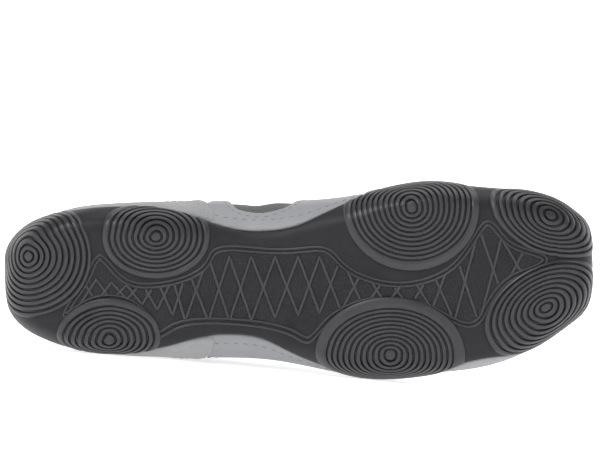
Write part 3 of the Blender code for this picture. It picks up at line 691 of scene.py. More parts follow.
def paint_groove_shade(made):
    """Mixes in near black where the mesh's groove value is high: painted shade in the grooves."""
    tree = made.node_tree
    base = tree.nodes["Principled BSDF"].inputs["Base Color"]
    depth = node(tree, "ShaderNodeAttribute", attribute_name="groove").outputs["Fac"]
    tree.links.new(mixed(tree, depth, base.links[0].from_socket, GROOVE_SHADE_COLOUR), base)


def add_dots(made):
    """Adds fine raised dots where the sheet's field value is above 0."""
    tree = made.node_tree
    normal = tree.nodes["Principled BSDF"].inputs["Normal"]
    where = node(tree, "ShaderNodeTexCoord").outputs["Object"]
    links = (("Vector", where), ("Scale", DOT_SCALE), ("Randomness", DOT_SCATTER))
    dots = node(tree, "ShaderNodeTexVoronoi", links).outputs["Distance"]
    inside = node(tree, "ShaderNodeAttribute", attribute_name="field").outputs["Fac"]
    height = maths(tree, "MULTIPLY", dots, ranged(tree, inside, 0.0, DOT_FADE))
    tilted = bumped(tree, DOT_HEIGHT, height, normal.links[0].from_socket, invert=True)
    tree.links.new(tilted, normal)


def woven_material(name, thread, hole, pitch, roughness):
    """Cloth whose threads follow the piece's own UV map."""
    made, tree, shader, coordinates = start_material(name, roughness, sheen=0.25)
    weave = place_group(tree, WEAVE, Vector=coordinates["UV"], Pitch=pitch)
    shade = (*[c * WEAVE_SHADE for c in thread], 1)
    tone = place_group(
        tree, MOTTLE, Vector=coordinates["Object"], Light=(*thread, 1), Dark=shade, Scale=60.0,
        Fleck=0.5,
    )
    tree.links.new(mixed(tree, weave["Holes"], tone["Color"], (*hole, 1)), shader["Base Color"])
    tree.links.new(bumped(tree, WEAVE_HEIGHT, weave["Height"], invert=True), shader["Normal"])
    return made


SOLE_RUBBER = grained_material(
    "sole rubber", (0.022, 0.021, 0.025), (0.015, 0.0145, 0.017), roughness=0.46, scale=700.0,
    depth=0.00006, uneven=0.0002, mottle=55.0, fleck=0.25, specular=0.2,
)
add_dots(SOLE_RUBBER)
LUG_RUBBER = grained_material(
    "lug rubber", (0.034, 0.032, 0.038), (0.025, 0.024, 0.028), roughness=0.36, scale=700.0,
    depth=0.00005, uneven=0.00025, mottle=45.0, fleck=0.2, specular=0.45,
)
# Painted shade: the lugs' ring grooves are darkened in their colour.
paint_groove_shade(LUG_RUBBER)
SUEDE = grained_material(
    "suede", (0.33, 0.335, 0.345), (0.255, 0.26, 0.27), roughness=0.93, scale=1500.0,
    depth=0.00045, uneven=0.0005, mottle=70.0, fleck=0.6, sheen=0.35, specular=0.2,
)
LEATHER = grained_material(
    "coated leather", (0.27, 0.275, 0.29), (0.235, 0.24, 0.255), roughness=0.55, scale=1100.0,
    depth=0.00012, uneven=0.0003, mottle=45.0, fleck=0.2, coat=0.12,
)
PIPING = grained_material(
    "dark synthetic", (0.060, 0.061, 0.066), (0.045, 0.046, 0.05), roughness=0.6, scale=1100.0,
    depth=0.00015, uneven=0.0003, mottle=45.0, fleck=0.2, coat=0.05,
)
THREAD = grained_material(
    "thread", (0.24, 0.245, 0.255), (0.17, 0.175, 0.18), roughness=0.8, scale=2500.0,
    depth=0.0001, uneven=0.0, mottle=90.0, fleck=0.5,
)
METAL = grained_material(
    "eyelet enamel", (0.05, 0.05, 0.053), (0.04, 0.04, 0.043), roughness=0.35, scale=900.0,
    depth=0.00003, uneven=0.0, mottle=90.0, fleck=0.2, coat=0.3,
)
MESH = woven_material("mesh cloth", (0.060, 0.064, 0.058), (0.012, 0.013, 0.012), 0.0017, 0.9)
LINING = woven_material("lining cloth", (0.10, 0.10, 0.11), (0.05, 0.05, 0.055), 0.0010, 0.95)
LACE = woven_material("lace cord", (0.075, 0.076, 0.08), (0.035, 0.035, 0.038), 0.0009, 0.85)
print("finishes", [m.name for m in (SOLE_RUBBER, LUG_RUBBER, SUEDE, LEATHER, PIPING, MESH)])

# %% [markdown]
# ## Curves that cut the panels
#
# The panel edges are the shoe's own lines, drawn from the side as shares of its length and of its
# instep height. Each is turned into a field: the height of the curve above a point, measured about
# square to the curve, so that the same number also says how near a point lies to the edge.

# %% Panel lines
UPPER_WALL = 0.0022
OVERLAY_THICKNESS = 0.0012
CUFF_THICKNESS = 0.0024
CUFF_DEPTH = 0.020
CLEARANCE = 0.0003
THROAT_GAP_VAMP = 0.018
THROAT_GAP_TOP = 0.028
EYESTAY_WIDTH = 0.018
EDGE_BLEND = 0.0112
SADDLE_BACK = 0.345
SADDLE_FRONT = 0.605
RUBBER_EDGE = {
    "lateral": (
        (-0.08, 1.20), (0.00, 1.18), (0.05, 0.95), (0.11, 0.68), (0.17, 0.58), (0.25, 0.52),
        (0.32, 0.43), (0.40, 0.46), (0.45, 0.49), (0.50, 0.60), (0.55, 0.70), (0.60, 0.90),
        (0.66, 0.95), (0.71, 0.80), (0.76, 0.45), (0.80, 0.34), (0.84, 0.40), (0.89, 0.66),
        (0.94, 0.95), (1.00, 1.15), (1.08, 1.20),
    ),
    "medial": (
        (-0.08, 1.20), (0.00, 1.18), (0.05, 0.95), (0.11, 0.68), (0.17, 0.60), (0.25, 0.58),
        (0.32, 0.49), (0.38, 0.43), (0.44, 0.40), (0.50, 0.36), (0.55, 0.42), (0.60, 0.58),
        (0.65, 0.80), (0.70, 0.92), (0.76, 0.92), (0.82, 0.86), (0.88, 0.86), (0.94, 1.00),
        (1.00, 1.15), (1.08, 1.20),
    ),
}
HEEL_COUNTER_TOP = (
    (0.345, 0.10), (0.330, 0.22), (0.280, 0.33), (0.200, 0.44), (0.100, 0.56), (0.000, 0.64),
    (-0.060, 0.67),
)
TOE_GUARD_TOP = (
    (0.605, 0.10), (0.620, 0.20), (0.670, 0.27), (0.740, 0.31), (0.810, 0.345), (0.850, 0.41),
    (0.875, 0.50), (0.885, 0.62),
)
SADDLE_TOP = {
    "medial": (
        (0.345, 0.30), (0.348, 0.42), (0.361, 0.46), (0.376, 0.36), (0.386, 0.22), (0.406, 0.175),
        (0.436, 0.162), (0.465, 0.175), (0.486, 0.22), (0.500, 0.35), (0.528, 0.45), (0.570, 0.45),
        (0.598, 0.37), (0.605, 0.26),
    ),
    "lateral": (
        (0.345, 0.30), (0.352, 0.42), (0.390, 0.45), (0.440, 0.44), (0.490, 0.43), (0.550, 0.42),
        (0.595, 0.38), (0.605, 0.28),
    ),
}
LINE_STEPS = 120


def smooth_line(points, steps=LINE_STEPS):
    """A smooth line of points through given ones."""
    points = np.array(points, float)
    at = np.linspace(0, len(points) - 1, steps)
    return np.stack([spline(points[:, k], at) for k in range(points.shape[1])], 1)


def polygon_distance(points, outline):
    """Signed distance from points to a closed outline in the plane, positive inside."""
    a = outline
    b = np.roll(outline, -1, axis=0)
    best = np.full(len(points), np.inf)
    inside = np.zeros(len(points), bool)
    for p, q in zip(a, b):
        edge = q - p
        size = max(float(edge @ edge), 1e-18)
        t = np.clip(((points - p) @ edge) / size, 0, 1)
        best = np.minimum(best, np.linalg.norm(points - p - t[:, None] * edge, axis=1))
        if p[1] != q[1]:
            crosses = (p[1] > points[:, 1]) != (q[1] > points[:, 1])
            x = p[0] + (points[:, 1] - p[1]) * edge[0] / edge[1]
            inside ^= crosses & (points[:, 0] < x)
    return np.where(inside, best, -best)


def side_field(outline):
    """Distance inside an outline drawn in the side view."""
    return lambda patch: polygon_distance(patch["point"][:, [0, 2]], outline)


def edge_height(points):
    """Height of the rubber's top edge over each point's place."""
    heights = []
    for side in ("medial", "lateral"):
        line = smooth_line(RUBBER_EDGE[side])
        heights.append(np.interp(points[:, 0] / LENGTH, line[:, 0], line[:, 1]) * RUBBER_WRAP)
    share = np.clip((points[:, 1] + EDGE_BLEND) / (2 * EDGE_BLEND), 0, 1)
    return heights[0] * (1 - share) + heights[1] * share


def above_rubber_field(patch):
    return patch["point"][:, 2] - edge_height(patch["point"]) - CLEARANCE


def collar_field(lift=0.0, above=False):
    """Distance below the collar's slanting edge, or above it."""
    front_x, front_z, back_x, back_z = section_at(COLLAR_ROW)[:4]
    slope = (front_z - back_z) / (front_x - back_x)
    lean = math.cos(math.atan(slope))

    def field(patch):
        x, z = patch["point"][:, 0], patch["point"][:, 2]
        below = (back_z + slope * (x - back_x) + lift - z) * lean
        return -below if above else below

    return field


VAMP_AT = float(np.interp(VAMP_ROW, FORM_ROWS, RIDGE_LENGTH))
COLLAR_AT = float(np.interp(COLLAR_ROW, FORM_ROWS, RIDGE_LENGTH))


def slot_distance(patch, start, half):
    """Distance outside a slot along the ridge that starts, rounded, at a length up the ridge."""
    up = patch["ridge"] - start
    y = np.abs(patch["y"])
    distance = np.where(up < half, np.hypot(y, up - half) - half, y - half)
    return np.where(patch["crown"] > 0, distance, FAR)


def throat_gap(row):
    """The throat's width at a row: it opens towards the collar."""
    share = np.clip((row - VAMP_ROW) / (COLLAR_ROW - VAMP_ROW), 0, 1.2)
    return THROAT_GAP_VAMP + (THROAT_GAP_TOP - THROAT_GAP_VAMP) * share


def throat_half(patch):
    return throat_gap(patch["row"]) / 2


def throat_field(patch):
    return slot_distance(patch, VAMP_AT, throat_half(patch))


def rounded(edge, radius, least=0.25):
    """A quarter-round profile from least at the edge to 1 at radius."""
    t = 1 - np.clip(edge / radius, 0, 1)
    return least + (1 - least) * np.sqrt(np.maximum(1 - t * t, 0))


# %% [markdown]
# ## The upper
#
# The upper is a thin boot of dark mesh, open at the collar and down the throat. It is one patch of
# the creased form with a real wall, so that its inside is there too when one looks in.

# %% Upper
RIMS = (0.0004, 0.0011)
RIM_THINNING = 0.3
upper = form_patch().keep(collar_field(), throat_field, rims=RIMS)
wall = UPPER_WALL * (1 - RIM_THINNING * (1 - rounded(upper["edge"], RIMS[-1])))
finish_piece(upper.closed("upper_shell", -wall, 0.0), MESH, ["upper"])

# %% [markdown]
# ## Insole and tongue
#
# The footbed is a thin cushion that follows the inside of the shell. The tongue is a soft padded
# sheet behind the laces, a little taller than the collar. A cloth simulation could fill them, but
# both lie nearly flat against other pieces, so they are shaped directly: thick in the middle, thin
# at a rounded rim, with the tongue's two stitched channels drawn in.

# %% Insole and tongue
INSOLE_THICKNESS = 0.0035
INSOLE_TURN_UP = 0.0035
INSOLE_RIMS = (0.0008, 0.0025)
INSOLE_ROUND = 0.003
TONGUE_RIMS = (0.0008, 0.003)
TONGUE_EDGE = 0.006
TONGUE_THICKNESS = 0.0035
TONGUE_WIDTH = 0.056
TONGUE_RISE = 0.012
TONGUE_ROUND = 0.014
CHANNEL_AT = 0.011
CHANNEL_HALF = 0.0016
CHANNEL_SINK = 0.35
INSOLE_ROWS = (1.8, 12.5)


def insole_field(patch):
    return patch["flat"] + INSOLE_TURN_UP - patch["under"]


def insole_ends(patch):
    start = np.interp(INSOLE_ROWS[0], FORM_ROWS, UNDER_LENGTH)
    end = np.interp(INSOLE_ROWS[1], FORM_ROWS, UNDER_LENGTH)
    at = np.interp(patch["row"], FORM_ROWS, UNDER_LENGTH)
    return np.minimum(at - start, end - at)


inside_wall = UPPER_WALL + 2 * CLEARANCE
insole = form_patch(creased=False).keep(insole_field, insole_ends, rims=INSOLE_RIMS)
height = INSOLE_THICKNESS * rounded(insole["edge"], INSOLE_ROUND)
cushion = insole.closed("insole_cushion", -inside_wall - height, -inside_wall)
finish_piece(cushion, LINING, ["insole"])


def tongue_field(patch):
    start = float(np.interp(TONGUE_ROW, FORM_ROWS, RIDGE_LENGTH))
    return -slot_distance(patch, start, TONGUE_WIDTH / 2)


def tongue_outline(patch):
    sides, top = tongue_field(patch), collar_field(TONGUE_RISE)(patch)
    inset = np.minimum(np.minimum(sides, top), TONGUE_ROUND)
    corner = (sides < TONGUE_ROUND) & (top < TONGUE_ROUND)
    cut_off = TONGUE_ROUND - np.hypot(TONGUE_ROUND - sides, TONGUE_ROUND - top)
    return np.where(corner, cut_off, inset)


tongue = form_patch(creased=False).keep(tongue_outline, rims=TONGUE_RIMS)
from_channel = (np.abs(tongue["y"]) - CHANNEL_AT) / CHANNEL_HALF
channels = 1 - CHANNEL_SINK * np.exp(-(from_channel**2))
height = TONGUE_THICKNESS * rounded(tongue["edge"], TONGUE_EDGE) * channels
tongue_piece = tongue.closed("tongue_pad", -inside_wall - height, -inside_wall)
finish_piece(tongue_piece, MESH, ["tongue"])

# %% [markdown]
# ## Suede and leather overlays
#
# Panels of suede guard the toe and the heel where the shoe scrapes the mat, and a coated leather
# band ties sole and lacing together at the waist. Each lies just outside the mesh and ends at the
# rubber's edge. Their raw edges are rounded over their own thickness.

# %% Overlays
LAP = 0.006
LAP_RISE = 0.75
OVERLAY_RIMS = (0.0003, 0.0009)


def overlay(name, finish, fields, node_name, lap=None):
    """A panel's piece; where lap is above 0 it lies over its neighbour's end."""
    patch = form_patch().keep(*fields, rims=OVERLAY_RIMS)
    proud = 1.0 if lap is None else 1.0 + LAP_RISE * smooth(-LAP, LAP / 3, lap(patch))
    top = CLEARANCE + OVERLAY_THICKNESS * proud * rounded(patch["edge"], OVERLAY_RIMS[-1], 0.35)
    return finish_piece(patch.closed(name, CLEARANCE, top), finish, [node_name])


def drawn(line):
    return smooth_line(line) * (LENGTH, INSTEP_HEIGHT)


BELOW = -0.02
COUNTER_REACH = (0.0025, 0.0010)
counter_line = drawn(HEEL_COUNTER_TOP) + COUNTER_REACH
counter_outline = np.concatenate(
    [[(counter_line[0][0], BELOW)], counter_line, [(-FAR, counter_line[-1][1]), (-FAR, BELOW)]]
)
overlay(
    "heel_counter_suede", SUEDE, (side_field(counter_outline), above_rubber_field),
    "heel_counter", lambda patch: patch["point"][:, 0] - SADDLE_BACK * LENGTH + LAP,
)
guard_line = drawn(TOE_GUARD_TOP)
past_toe = LENGTH + FAR
guard_outline = np.concatenate(
    [[(guard_line[0][0], BELOW)], guard_line, [(past_toe, guard_line[-1][1]), (past_toe, BELOW)]]
)
overlay(
    "toe_guard_suede", SUEDE, (side_field(guard_outline), above_rubber_field), "toe_guard",
    lambda patch: SADDLE_FRONT * LENGTH + 2 * LAP - patch["point"][:, 0],
)
for side, sign in (("medial", -1), ("lateral", 1)):
    band_line = drawn(SADDLE_TOP[side])
    back, front = SADDLE_BACK * LENGTH - LAP * 0.8, SADDLE_FRONT * LENGTH + LAP * 0.8
    hidden = counter_line[0][1]
    band_outline = np.concatenate(
        [[(back, BELOW), (back, hidden)], band_line, [(front, hidden), (front, BELOW)]]
    )
    overlay(
        f"waist_band_{side}", LEATHER,
        (side_field(band_outline), above_rubber_field, lambda patch, s=sign: s * patch["y"]),
        f"saddle_{side}",
    )

# %% [markdown]
# ## Eyestay and cuff
#
# The eyestay stiffens both edges of the throat, where the lace pulls. The cuff is a padded roll
# round the collar: it bulges between its two stitched edges.

# %% Eyestay and cuff
EYESTAY_ROW = VAMP_ROW - 0.7
CUFF_RIMS = (0.0006, 0.0018, 0.0040)
CUFF_LEAST = 0.25


def eyestay_field(patch):
    start = float(np.interp(EYESTAY_ROW, FORM_ROWS, RIDGE_LENGTH))
    return -slot_distance(patch, start, throat_half(patch) + EYESTAY_WIDTH)


overlay(
    "eyestay_band", LEATHER,
    (eyestay_field, throat_field, collar_field(-CUFF_DEPTH - CLEARANCE)), "eyestay",
)
cuff = form_patch().keep(
    collar_field(), collar_field(-CUFF_DEPTH, above=True), throat_field,
    rims=CUFF_RIMS,
)
bulge = rounded(cuff["edge"], CUFF_DEPTH / 2, CUFF_LEAST)
cuff_piece = cuff.closed("cuff_pad", CLEARANCE, CLEARANCE + CUFF_THICKNESS * bulge)
finish_piece(cuff_piece, PIPING, ["cuff"])

# %% [markdown]
# ## The sole sheet
#
# The rubber sole is a shallow cup: thin under the foot, thinner up the sides, with a wavy top
# edge. Between its round lugs lies a field of fine dots and diamonds with a raised border. The
# sheet is a patch again; the field is kept as a value on its points, which the rubber's material
# reads to show the dots only there.

# %% Sole sheet
SHEET_UNDER = 0.0030
SHEET_SIDE = 0.0018
SHEET_RIMS = (0.0004, 0.0010)
SHEET_LEAST = 0.3
# Places under the foot are drawn in pixels of the photo, each this long in metres. The heel ends
# near one column of pixels, and the shoe's middle line is one row of them.
PHOTO_STEP = 0.0004754
HEEL_PIXEL = 5
MIDDLE_PIXEL = 280
HEEL_BACK = 0.003


def under_foot(pixels):
    """Pixels of the photo as metres from the heel and from the middle line."""
    pixels = np.array(pixels, float)
    x = (pixels[:, 0] - HEEL_PIXEL) * PHOTO_STEP - HEEL_BACK
    return np.stack([x, (pixels[:, 1] - MIDDLE_PIXEL) * PHOTO_STEP], 1)


FIELD_BORDER = under_foot((
    (103, 254), (112, 262), (124, 275), (140, 282), (160, 282), (186, 276), (205, 264), (213, 251),
    (236, 246), (284, 249), (324, 247), (342, 261), (362, 274), (388, 281), (415, 280), (440, 271),
    (458, 255), (472, 234), (482, 222), (492, 225), (505, 240), (524, 249), (541, 256), (538, 266),
    (519, 274), (500, 286), (486, 306), (478, 320), (463, 325), (440, 315), (420, 305), (390, 301),
    (362, 303), (343, 311), (328, 322), (312, 338), (295, 333), (255, 323), (190, 322), (162, 332),
    (152, 322), (140, 308), (120, 299), (98, 300), (80, 310), (69, 315), (73, 302), (88, 278),
    (95, 262),
))


def edge_field(patch):
    return edge_height(patch["point"]) - patch["point"][:, 2]


def look_down(patch):
    return np.clip(-patch["normal"][:, 2], 0, 1) ** 2


border = smooth_line(np.concatenate([FIELD_BORDER, FIELD_BORDER[:1]]), 240)[:-1]
sheet = form_patch(creased=False).keep(edge_field, rims=SHEET_RIMS)
down = look_down(sheet)
high = SHEET_SIDE + (SHEET_UNDER - SHEET_SIDE) * down
high = CLEARANCE + (high - CLEARANCE) * rounded(sheet["edge"], SHEET_RIMS[-1], SHEET_LEAST)
in_field = polygon_distance(sheet["point"][:, :2], border)
in_field = np.where(sheet["normal"][:, 2] < -0.2, in_field, -1.0)
sheet_piece = sheet.closed("sole_sheet", CLEARANCE, high)
give_values(sheet_piece.data, "field", np.concatenate([in_field, in_field]))
finish_piece(sheet_piece, SOLE_RUBBER, ["outsole"])

# %% [markdown]
# ## Round lugs
#
# Seven round lugs grip the mat. Each is a low dome with ring grooves, and wraps up the side of the
# foot like a coin pressed on a ball. A flat disc bent by hand would stretch there, so each lug is
# walked out over the form from its centre: small steps along the surface in every direction, which
# keeps the rings evenly spaced however the surface turns.

# %% Lugs
form_tree_points = [Vector(p) for p in FORM.reshape(-1, 3)]
form_tree_faces = []
for a, b, c, d in form_quads():
    form_tree_faces += [(a, b, c), (a, c, d)]
FORM_TREE = BVHTree.FromPolygons(form_tree_points, form_tree_faces)
FLAT_NORMALS = NORMAL.reshape(-1, 3)


def on_form(point):
    """The nearest point of the form, and its smooth normal there."""
    place, _, index, _ = FORM_TREE.find_nearest(point)
    a, b, c = form_tree_faces[index]
    pa, pb, pc = form_tree_points[a], form_tree_points[b], form_tree_points[c]
    whole = (pb - pa).cross(pc - pa)
    size = max(whole.length_squared, 1e-18)
    wa = (pb - place).cross(pc - place).dot(whole) / size
    wb = (pc - place).cross(pa - place).dot(whole) / size
    normal = FLAT_NORMALS[a] * wa + FLAT_NORMALS[b] * wb + FLAT_NORMALS[c] * (1 - wa - wb)
    return place, Vector(normal).normalized()


# Rings of each lug: the share of its size along and across that they fill, and their number.
LUG_RINGS = {
    "heel": (0.93, 0.93, 10),
    "heel_medial": (0.87, 0.84, 8),
    "heel_lateral": (0.87, 0.78, 7),
    "ball_medial": (0.88, 0.83, 11),
    "ball_lateral": (0.84, 0.79, 11),
    "toe_medial": (0.88, 0.88, 8),
    "toe_lateral": (0.90, 0.92, 9),
}
LUG_TURNS = 96
WALK_STEP = 0.0005
GROOVE_DEPTH = 0.0014
GROOVE_SHARE = 0.17
LUG_SIDE = 0.0030
LUG_PLANED = 0.0006
LUG_RIM = (0.25, 0.6, 0.85, 0.95, 1.0)
LUG_EDGE = 0.0006
LUG_FOOT = 0.30
LUG_SUNK = 0.0010
LUG_THINNEST = 0.0004
LUG_ROUND = 0.0012
GROOVE_FLOOR = 0.0008
RING_PROFILE = (
    (-0.5, 0.00), (-0.22, 0.05), (-GROOVE_SHARE, 0.30), (-0.07, 1.0), (0.07, 1.0),
    (GROOVE_SHARE, 0.30), (0.22, 0.05),
)
# How far the fine lugs sit from the faceted ones' centres, along and across, as measured.
LUG_SHIFT = {
    "heel": (0.0045, 0.0),
    "heel_medial": (0.0007, 0.0),
    "heel_lateral": (0.0014, -0.0017),
    "ball_medial": (-0.0004, 0.0010),
    "ball_lateral": (-0.0010, -0.0014),
    "toe_medial": (-0.0028, 0.0016),
    "toe_lateral": (-0.0033, -0.0008),
}


def lug_stations(rings):
    """(share of the ring region, groove depth share) from the centre to its outermost groove."""
    stations = [(0.0, 0.0), (0.3 / rings, 0.0), (0.55 / rings, 0.0)]
    for k in range(1, rings + 1):
        for at, depth in RING_PROFILE[1 if k == 1 else 0 :]:
            stations.append(((k + at) / rings, depth))
    return [s for s in stations if s[0] <= 1.0 + GROOVE_SHARE / rings]


def walk_lug(name):
    """A lug's surface walked out from its centre: a patch with its place on the lug."""
    along, across, long, wide, turn = LUGS[name]
    share_long, share_wide, rings = LUG_RINGS[name]
    turn = math.radians(turn)
    shift = LUG_SHIFT[name]
    start = Vector((along * LENGTH + shift[0], across * BALL_WIDTH / 2 + shift[1], BELOW))
    centre, centre_normal = on_form(FORM_TREE.ray_cast(start, Vector((0, 0, 1)))[0])
    stations = lug_stations(rings)
    last = stations[-1][0]
    depths = [s[1] for s in stations[1:]] + [0.0] * len(LUG_RIM)
    rows = len(depths)
    trodden = [(centre, centre_normal, 0.0, 0.0)]
    faces = []
    for k in range(LUG_TURNS):
        a = 2 * math.pi * k / LUG_TURNS
        flat = Vector((math.cos(a), math.sin(a)))
        inner = 1 / math.hypot(flat.x / (long * share_long), flat.y / (wide * share_wide)) * LENGTH
        outer = 1 / math.hypot(flat.x / long, flat.y / wide) * LENGTH
        goals = [s[0] * inner for s in stations[1:]]
        goals += [last * inner + (outer - last * inner) * t for t in LUG_RIM]
        heading = Vector((
            flat.x * math.cos(turn) - flat.y * math.sin(turn),
            flat.x * math.sin(turn) + flat.y * math.cos(turn), 0.0,
        ))
        place, normal, walked = centre, centre_normal, 0.0
        for goal, depth in zip(goals, depths):
            while walked < goal - TINY:
                step = min(WALK_STEP, goal - walked)
                heading = (heading - normal * heading.dot(normal)).normalized()
                ahead, normal = on_form(place + heading * step)
                heading = (ahead - place).normalized()
                place = ahead
                walked += step
            trodden.append((place, normal, depth, goal / outer))
        here, beside = 1 + k * rows, 1 + (k + 1) % LUG_TURNS * rows
        faces.append((0, beside, here))
        for r in range(rows - 1):
            faces.append((here + r, beside + r, beside + r + 1, here + r + 1))
    columns = zip(("point", "normal", "depth", "rim"), zip(*trodden))
    return Patch({key: np.array(value, float) for key, value in columns}, faces)


def lug_piece(name):
    """A closed lug standing on the sheet, and how deep in a groove each of its points is."""
    patch = walk_lug(name)
    patch.columns["ridge"] = patch["point"][:, 0]
    patch.columns["round"] = patch["point"][:, 1]
    patch.keep(lambda p: edge_field(p) - LUG_EDGE, rims=(2 * LUG_THINNEST,))
    down = look_down(patch)
    full = LUG_SIDE + (SOLE_THICKNESS + LUG_PLANED - LUG_SIDE) * down
    base = SHEET_SIDE + (SHEET_UNDER - SHEET_SIDE) * down
    rim = patch["rim"]
    dome = LUG_FOOT + (1 - LUG_FOOT) * np.sqrt(np.maximum(1 - np.clip(rim, 0, 1) ** 4, 0))
    dome = dome * rounded(patch["edge"], LUG_ROUND, 0.5)
    high = base + (full - base) * dome
    normal = patch["normal"] / np.linalg.norm(patch["normal"], axis=1, keepdims=True)
    under_floor = np.maximum(-(patch["point"][:, 2] + normal[:, 2] * high), 0)
    high = high - under_floor / np.maximum(-normal[:, 2], 0.3)
    high = high - GROOVE_DEPTH * patch["depth"] * (0.75 + 0.25 * down)
    high = np.maximum(high, base - GROOVE_FLOOR)
    low = np.minimum(base - LUG_SUNK, high - LUG_THINNEST)
    piece = patch.closed(f"lug_{name}", low, high)
    return piece, np.concatenate([patch["depth"], np.zeros(len(high))])


def joined(name, pieces):
    """Several meshes as one piece."""
    bm = bmesh.new()
    for piece in pieces:
        bm.from_mesh(piece.data)
        bpy.data.objects.remove(piece)
    mesh = bpy.data.meshes.new(name)
    bm.to_mesh(mesh)
    bm.free()
    return new_object(name, mesh)


made_lugs = [lug_piece(name) for name in LUGS]
lugs_piece = joined("sole_lugs", [piece for piece, _ in made_lugs])
# The groove depth is also the mask of the painted shade in the lug material.
give_values(lugs_piece.data, "groove", np.concatenate([depth for _, depth in made_lugs]))
finish_piece(lugs_piece, LUG_RUBBER)

# %% [markdown]
# ## Ribs of the centre field
#
# Raised lines cross the field as a row of diamonds, and a double line borders it. They repeat
# along paths, so Geometry Nodes make them: each path becomes a curve, and a round bead is swept
# along it, half sunk in the sheet.

# %% Ribs
def drop_on_sheet(points, lift):
    """Places under the foot put on the sole sheet's underside."""
    placed = []
    for x, y in points:
        hit, _, _, _ = FORM_TREE.ray_cast(Vector((x, y, -0.05)), Vector((0, 0, 1)))
        if hit is None:
            continue
        place, normal = on_form(hit)
        placed.append(place + normal * lift)
    return placed


def path_mesh(name, paths, normals=()):
    """Paths as one mesh of edges, laid down, with their outward directions where given."""
    edges, start = [], 0
    for path in paths:
        edges += [(start + i, start + i + 1) for i in range(len(path) - 1)]
        start += len(path)
    mesh = bpy.data.meshes.new(name)
    mesh.from_pydata([tuple(p) for path in paths for p in path], edges, [])
    mesh.transform(LIE)
    if normals:
        directions = [tuple(LIE.to_3x3() @ Vector(n)) for row in normals for n in row]
        give_values(mesh, "outward", directions)
    return new_object(name, mesh)


def new_tree(name, **inputs):
    """A geometry tree with named sizes and a finish."""
    sockets = [("Geometry", "Geometry")] + list(inputs.items()) + [("Finish", "Material")]
    return new_group(name, "GeometryNodeTree", sockets, (("Geometry", "Geometry"),))


def end_tree(tree, shape, into, out):
    """Ends a tree in real geometry that has its finish."""
    real = node(tree, "GeometryNodeRealizeInstances", ((0, shape),)).outputs[0]
    links = ((0, real), ("Material", into["Finish"]))
    tree.links.new(node(tree, "GeometryNodeSetMaterial", links).outputs[0], out[0])
    return tree


def circle(tree, points, radius):
    """A round curve."""
    links = (("Resolution", points), ("Radius", radius))
    return node(tree, "GeometryNodeCurvePrimitiveCircle", links).outputs[0]


def bead_tree():
    """A round bead swept along the edges."""
    tree, into, out = new_tree("bead along a path", Radius="Float")
    curve = node(tree, "GeometryNodeMeshToCurve", (("Mesh", into["Geometry"]),)).outputs[0]
    bead = node(tree, "GeometryNodeCurveToMesh", (
        ("Curve", curve), ("Profile Curve", circle(tree, BEAD_POINTS, into["Radius"])),
        ("Fill Caps", True),
    ))
    return end_tree(tree, bead.outputs[0], into, out)


def run_tree(source, tree, **values):
    """The tree's result on source as a plain mesh; source is removed."""
    modifier = source.modifiers.new(tree.name, "NODES")
    modifier.node_group = tree
    for item in tree.interface.items_tree:
        if item.in_out == "INPUT" and item.name in values:
            modifier[item.identifier] = values[item.name]
    graph = bpy.context.evaluated_depsgraph_get()
    mesh = bpy.data.meshes.new_from_object(source.evaluated_get(graph))
    name = source.name
    source.modifiers.clear()
    bpy.data.objects.remove(source)
    mesh.shade_smooth()
    return new_object(name, mesh)


# The zigzag's turns: places along the foot of the peaks and of the dips between them.
PEAKS = (186, 209, 230, 252, 276, 299, 320, 341, 363, 385, 408, 430, 452, 476, 498, 520)
PEAK_LINE = (
    (186, 262), (209, 256), (341, 256), (363, 268), (385, 276), (430, 270), (452, 250), (476, 228),
    (498, 238), (520, 250),
)
DIP_LINE = (
    (175, 320), (250, 319), (345, 309), (385, 304), (430, 308), (452, 320), (476, 322), (498, 292),
    (520, 276),
)
SMALL_PEAKS = (84, 99, 114, 129, 144, 159, 174, 186)
SMALL_PEAK_LINE = ((84, 276), (129, 284), (186, 276))
SMALL_DIP_LINE = ((84, 302), (129, 298), (186, 318))
BEAD_POINTS = 8
BEAD_RADIUS = 0.0008
BORDER_RADIUS = 0.0006
BORDER_GAP = 0.0019
RIB_MARGIN = 0.0016
RIB_SPACING = 0.0015


def zigzag(xs, top, bottom, flip):
    """A zigzag that turns at xs, in turn at a top and at a bottom line."""
    top, bottom = np.array(top, float), np.array(bottom, float)
    turns = []
    for k, x in enumerate(xs):
        line = top if (k % 2 == 0) != flip else bottom
        turns.append((x, np.interp(x, line[:, 0], line[:, 1])))
    return under_foot(turns)


def dense(points):
    """A polyline with its points closer together."""
    result = []
    for a, b in zip(points[:-1], points[1:]):
        count = max(int(np.linalg.norm(b - a) / RIB_SPACING), 1)
        result += [a + (b - a) * t for t in np.arange(count) / count]
    return np.array(result + [points[-1]])


def inside_border(points, margin):
    """The runs of a polyline that lie inside the border."""
    inside = polygon_distance(points, border) > margin
    runs, run = [], []
    for point, keep in zip(points, inside):
        if keep:
            run.append(point)
        elif run:
            runs.append(run)
            run = []
    return [r for r in runs + [run] if len(r) > 2]


rib_lines = []
for flip in (False, True):
    rib_lines.append(zigzag(PEAKS, PEAK_LINE, DIP_LINE, flip))
    rib_lines.append(zigzag(SMALL_PEAKS, SMALL_PEAK_LINE, SMALL_DIP_LINE, flip))
rib_paths = []
for line in rib_lines:
    for run in inside_border(dense(line), RIB_MARGIN):
        rib_paths.append(drop_on_sheet(run, SHEET_UNDER))
BEADS = bead_tree()
ribs = run_tree(path_mesh("field_ribs", rib_paths), BEADS, Radius=BEAD_RADIUS, Finish=LUG_RUBBER)
finish_piece(ribs, LUG_RUBBER)


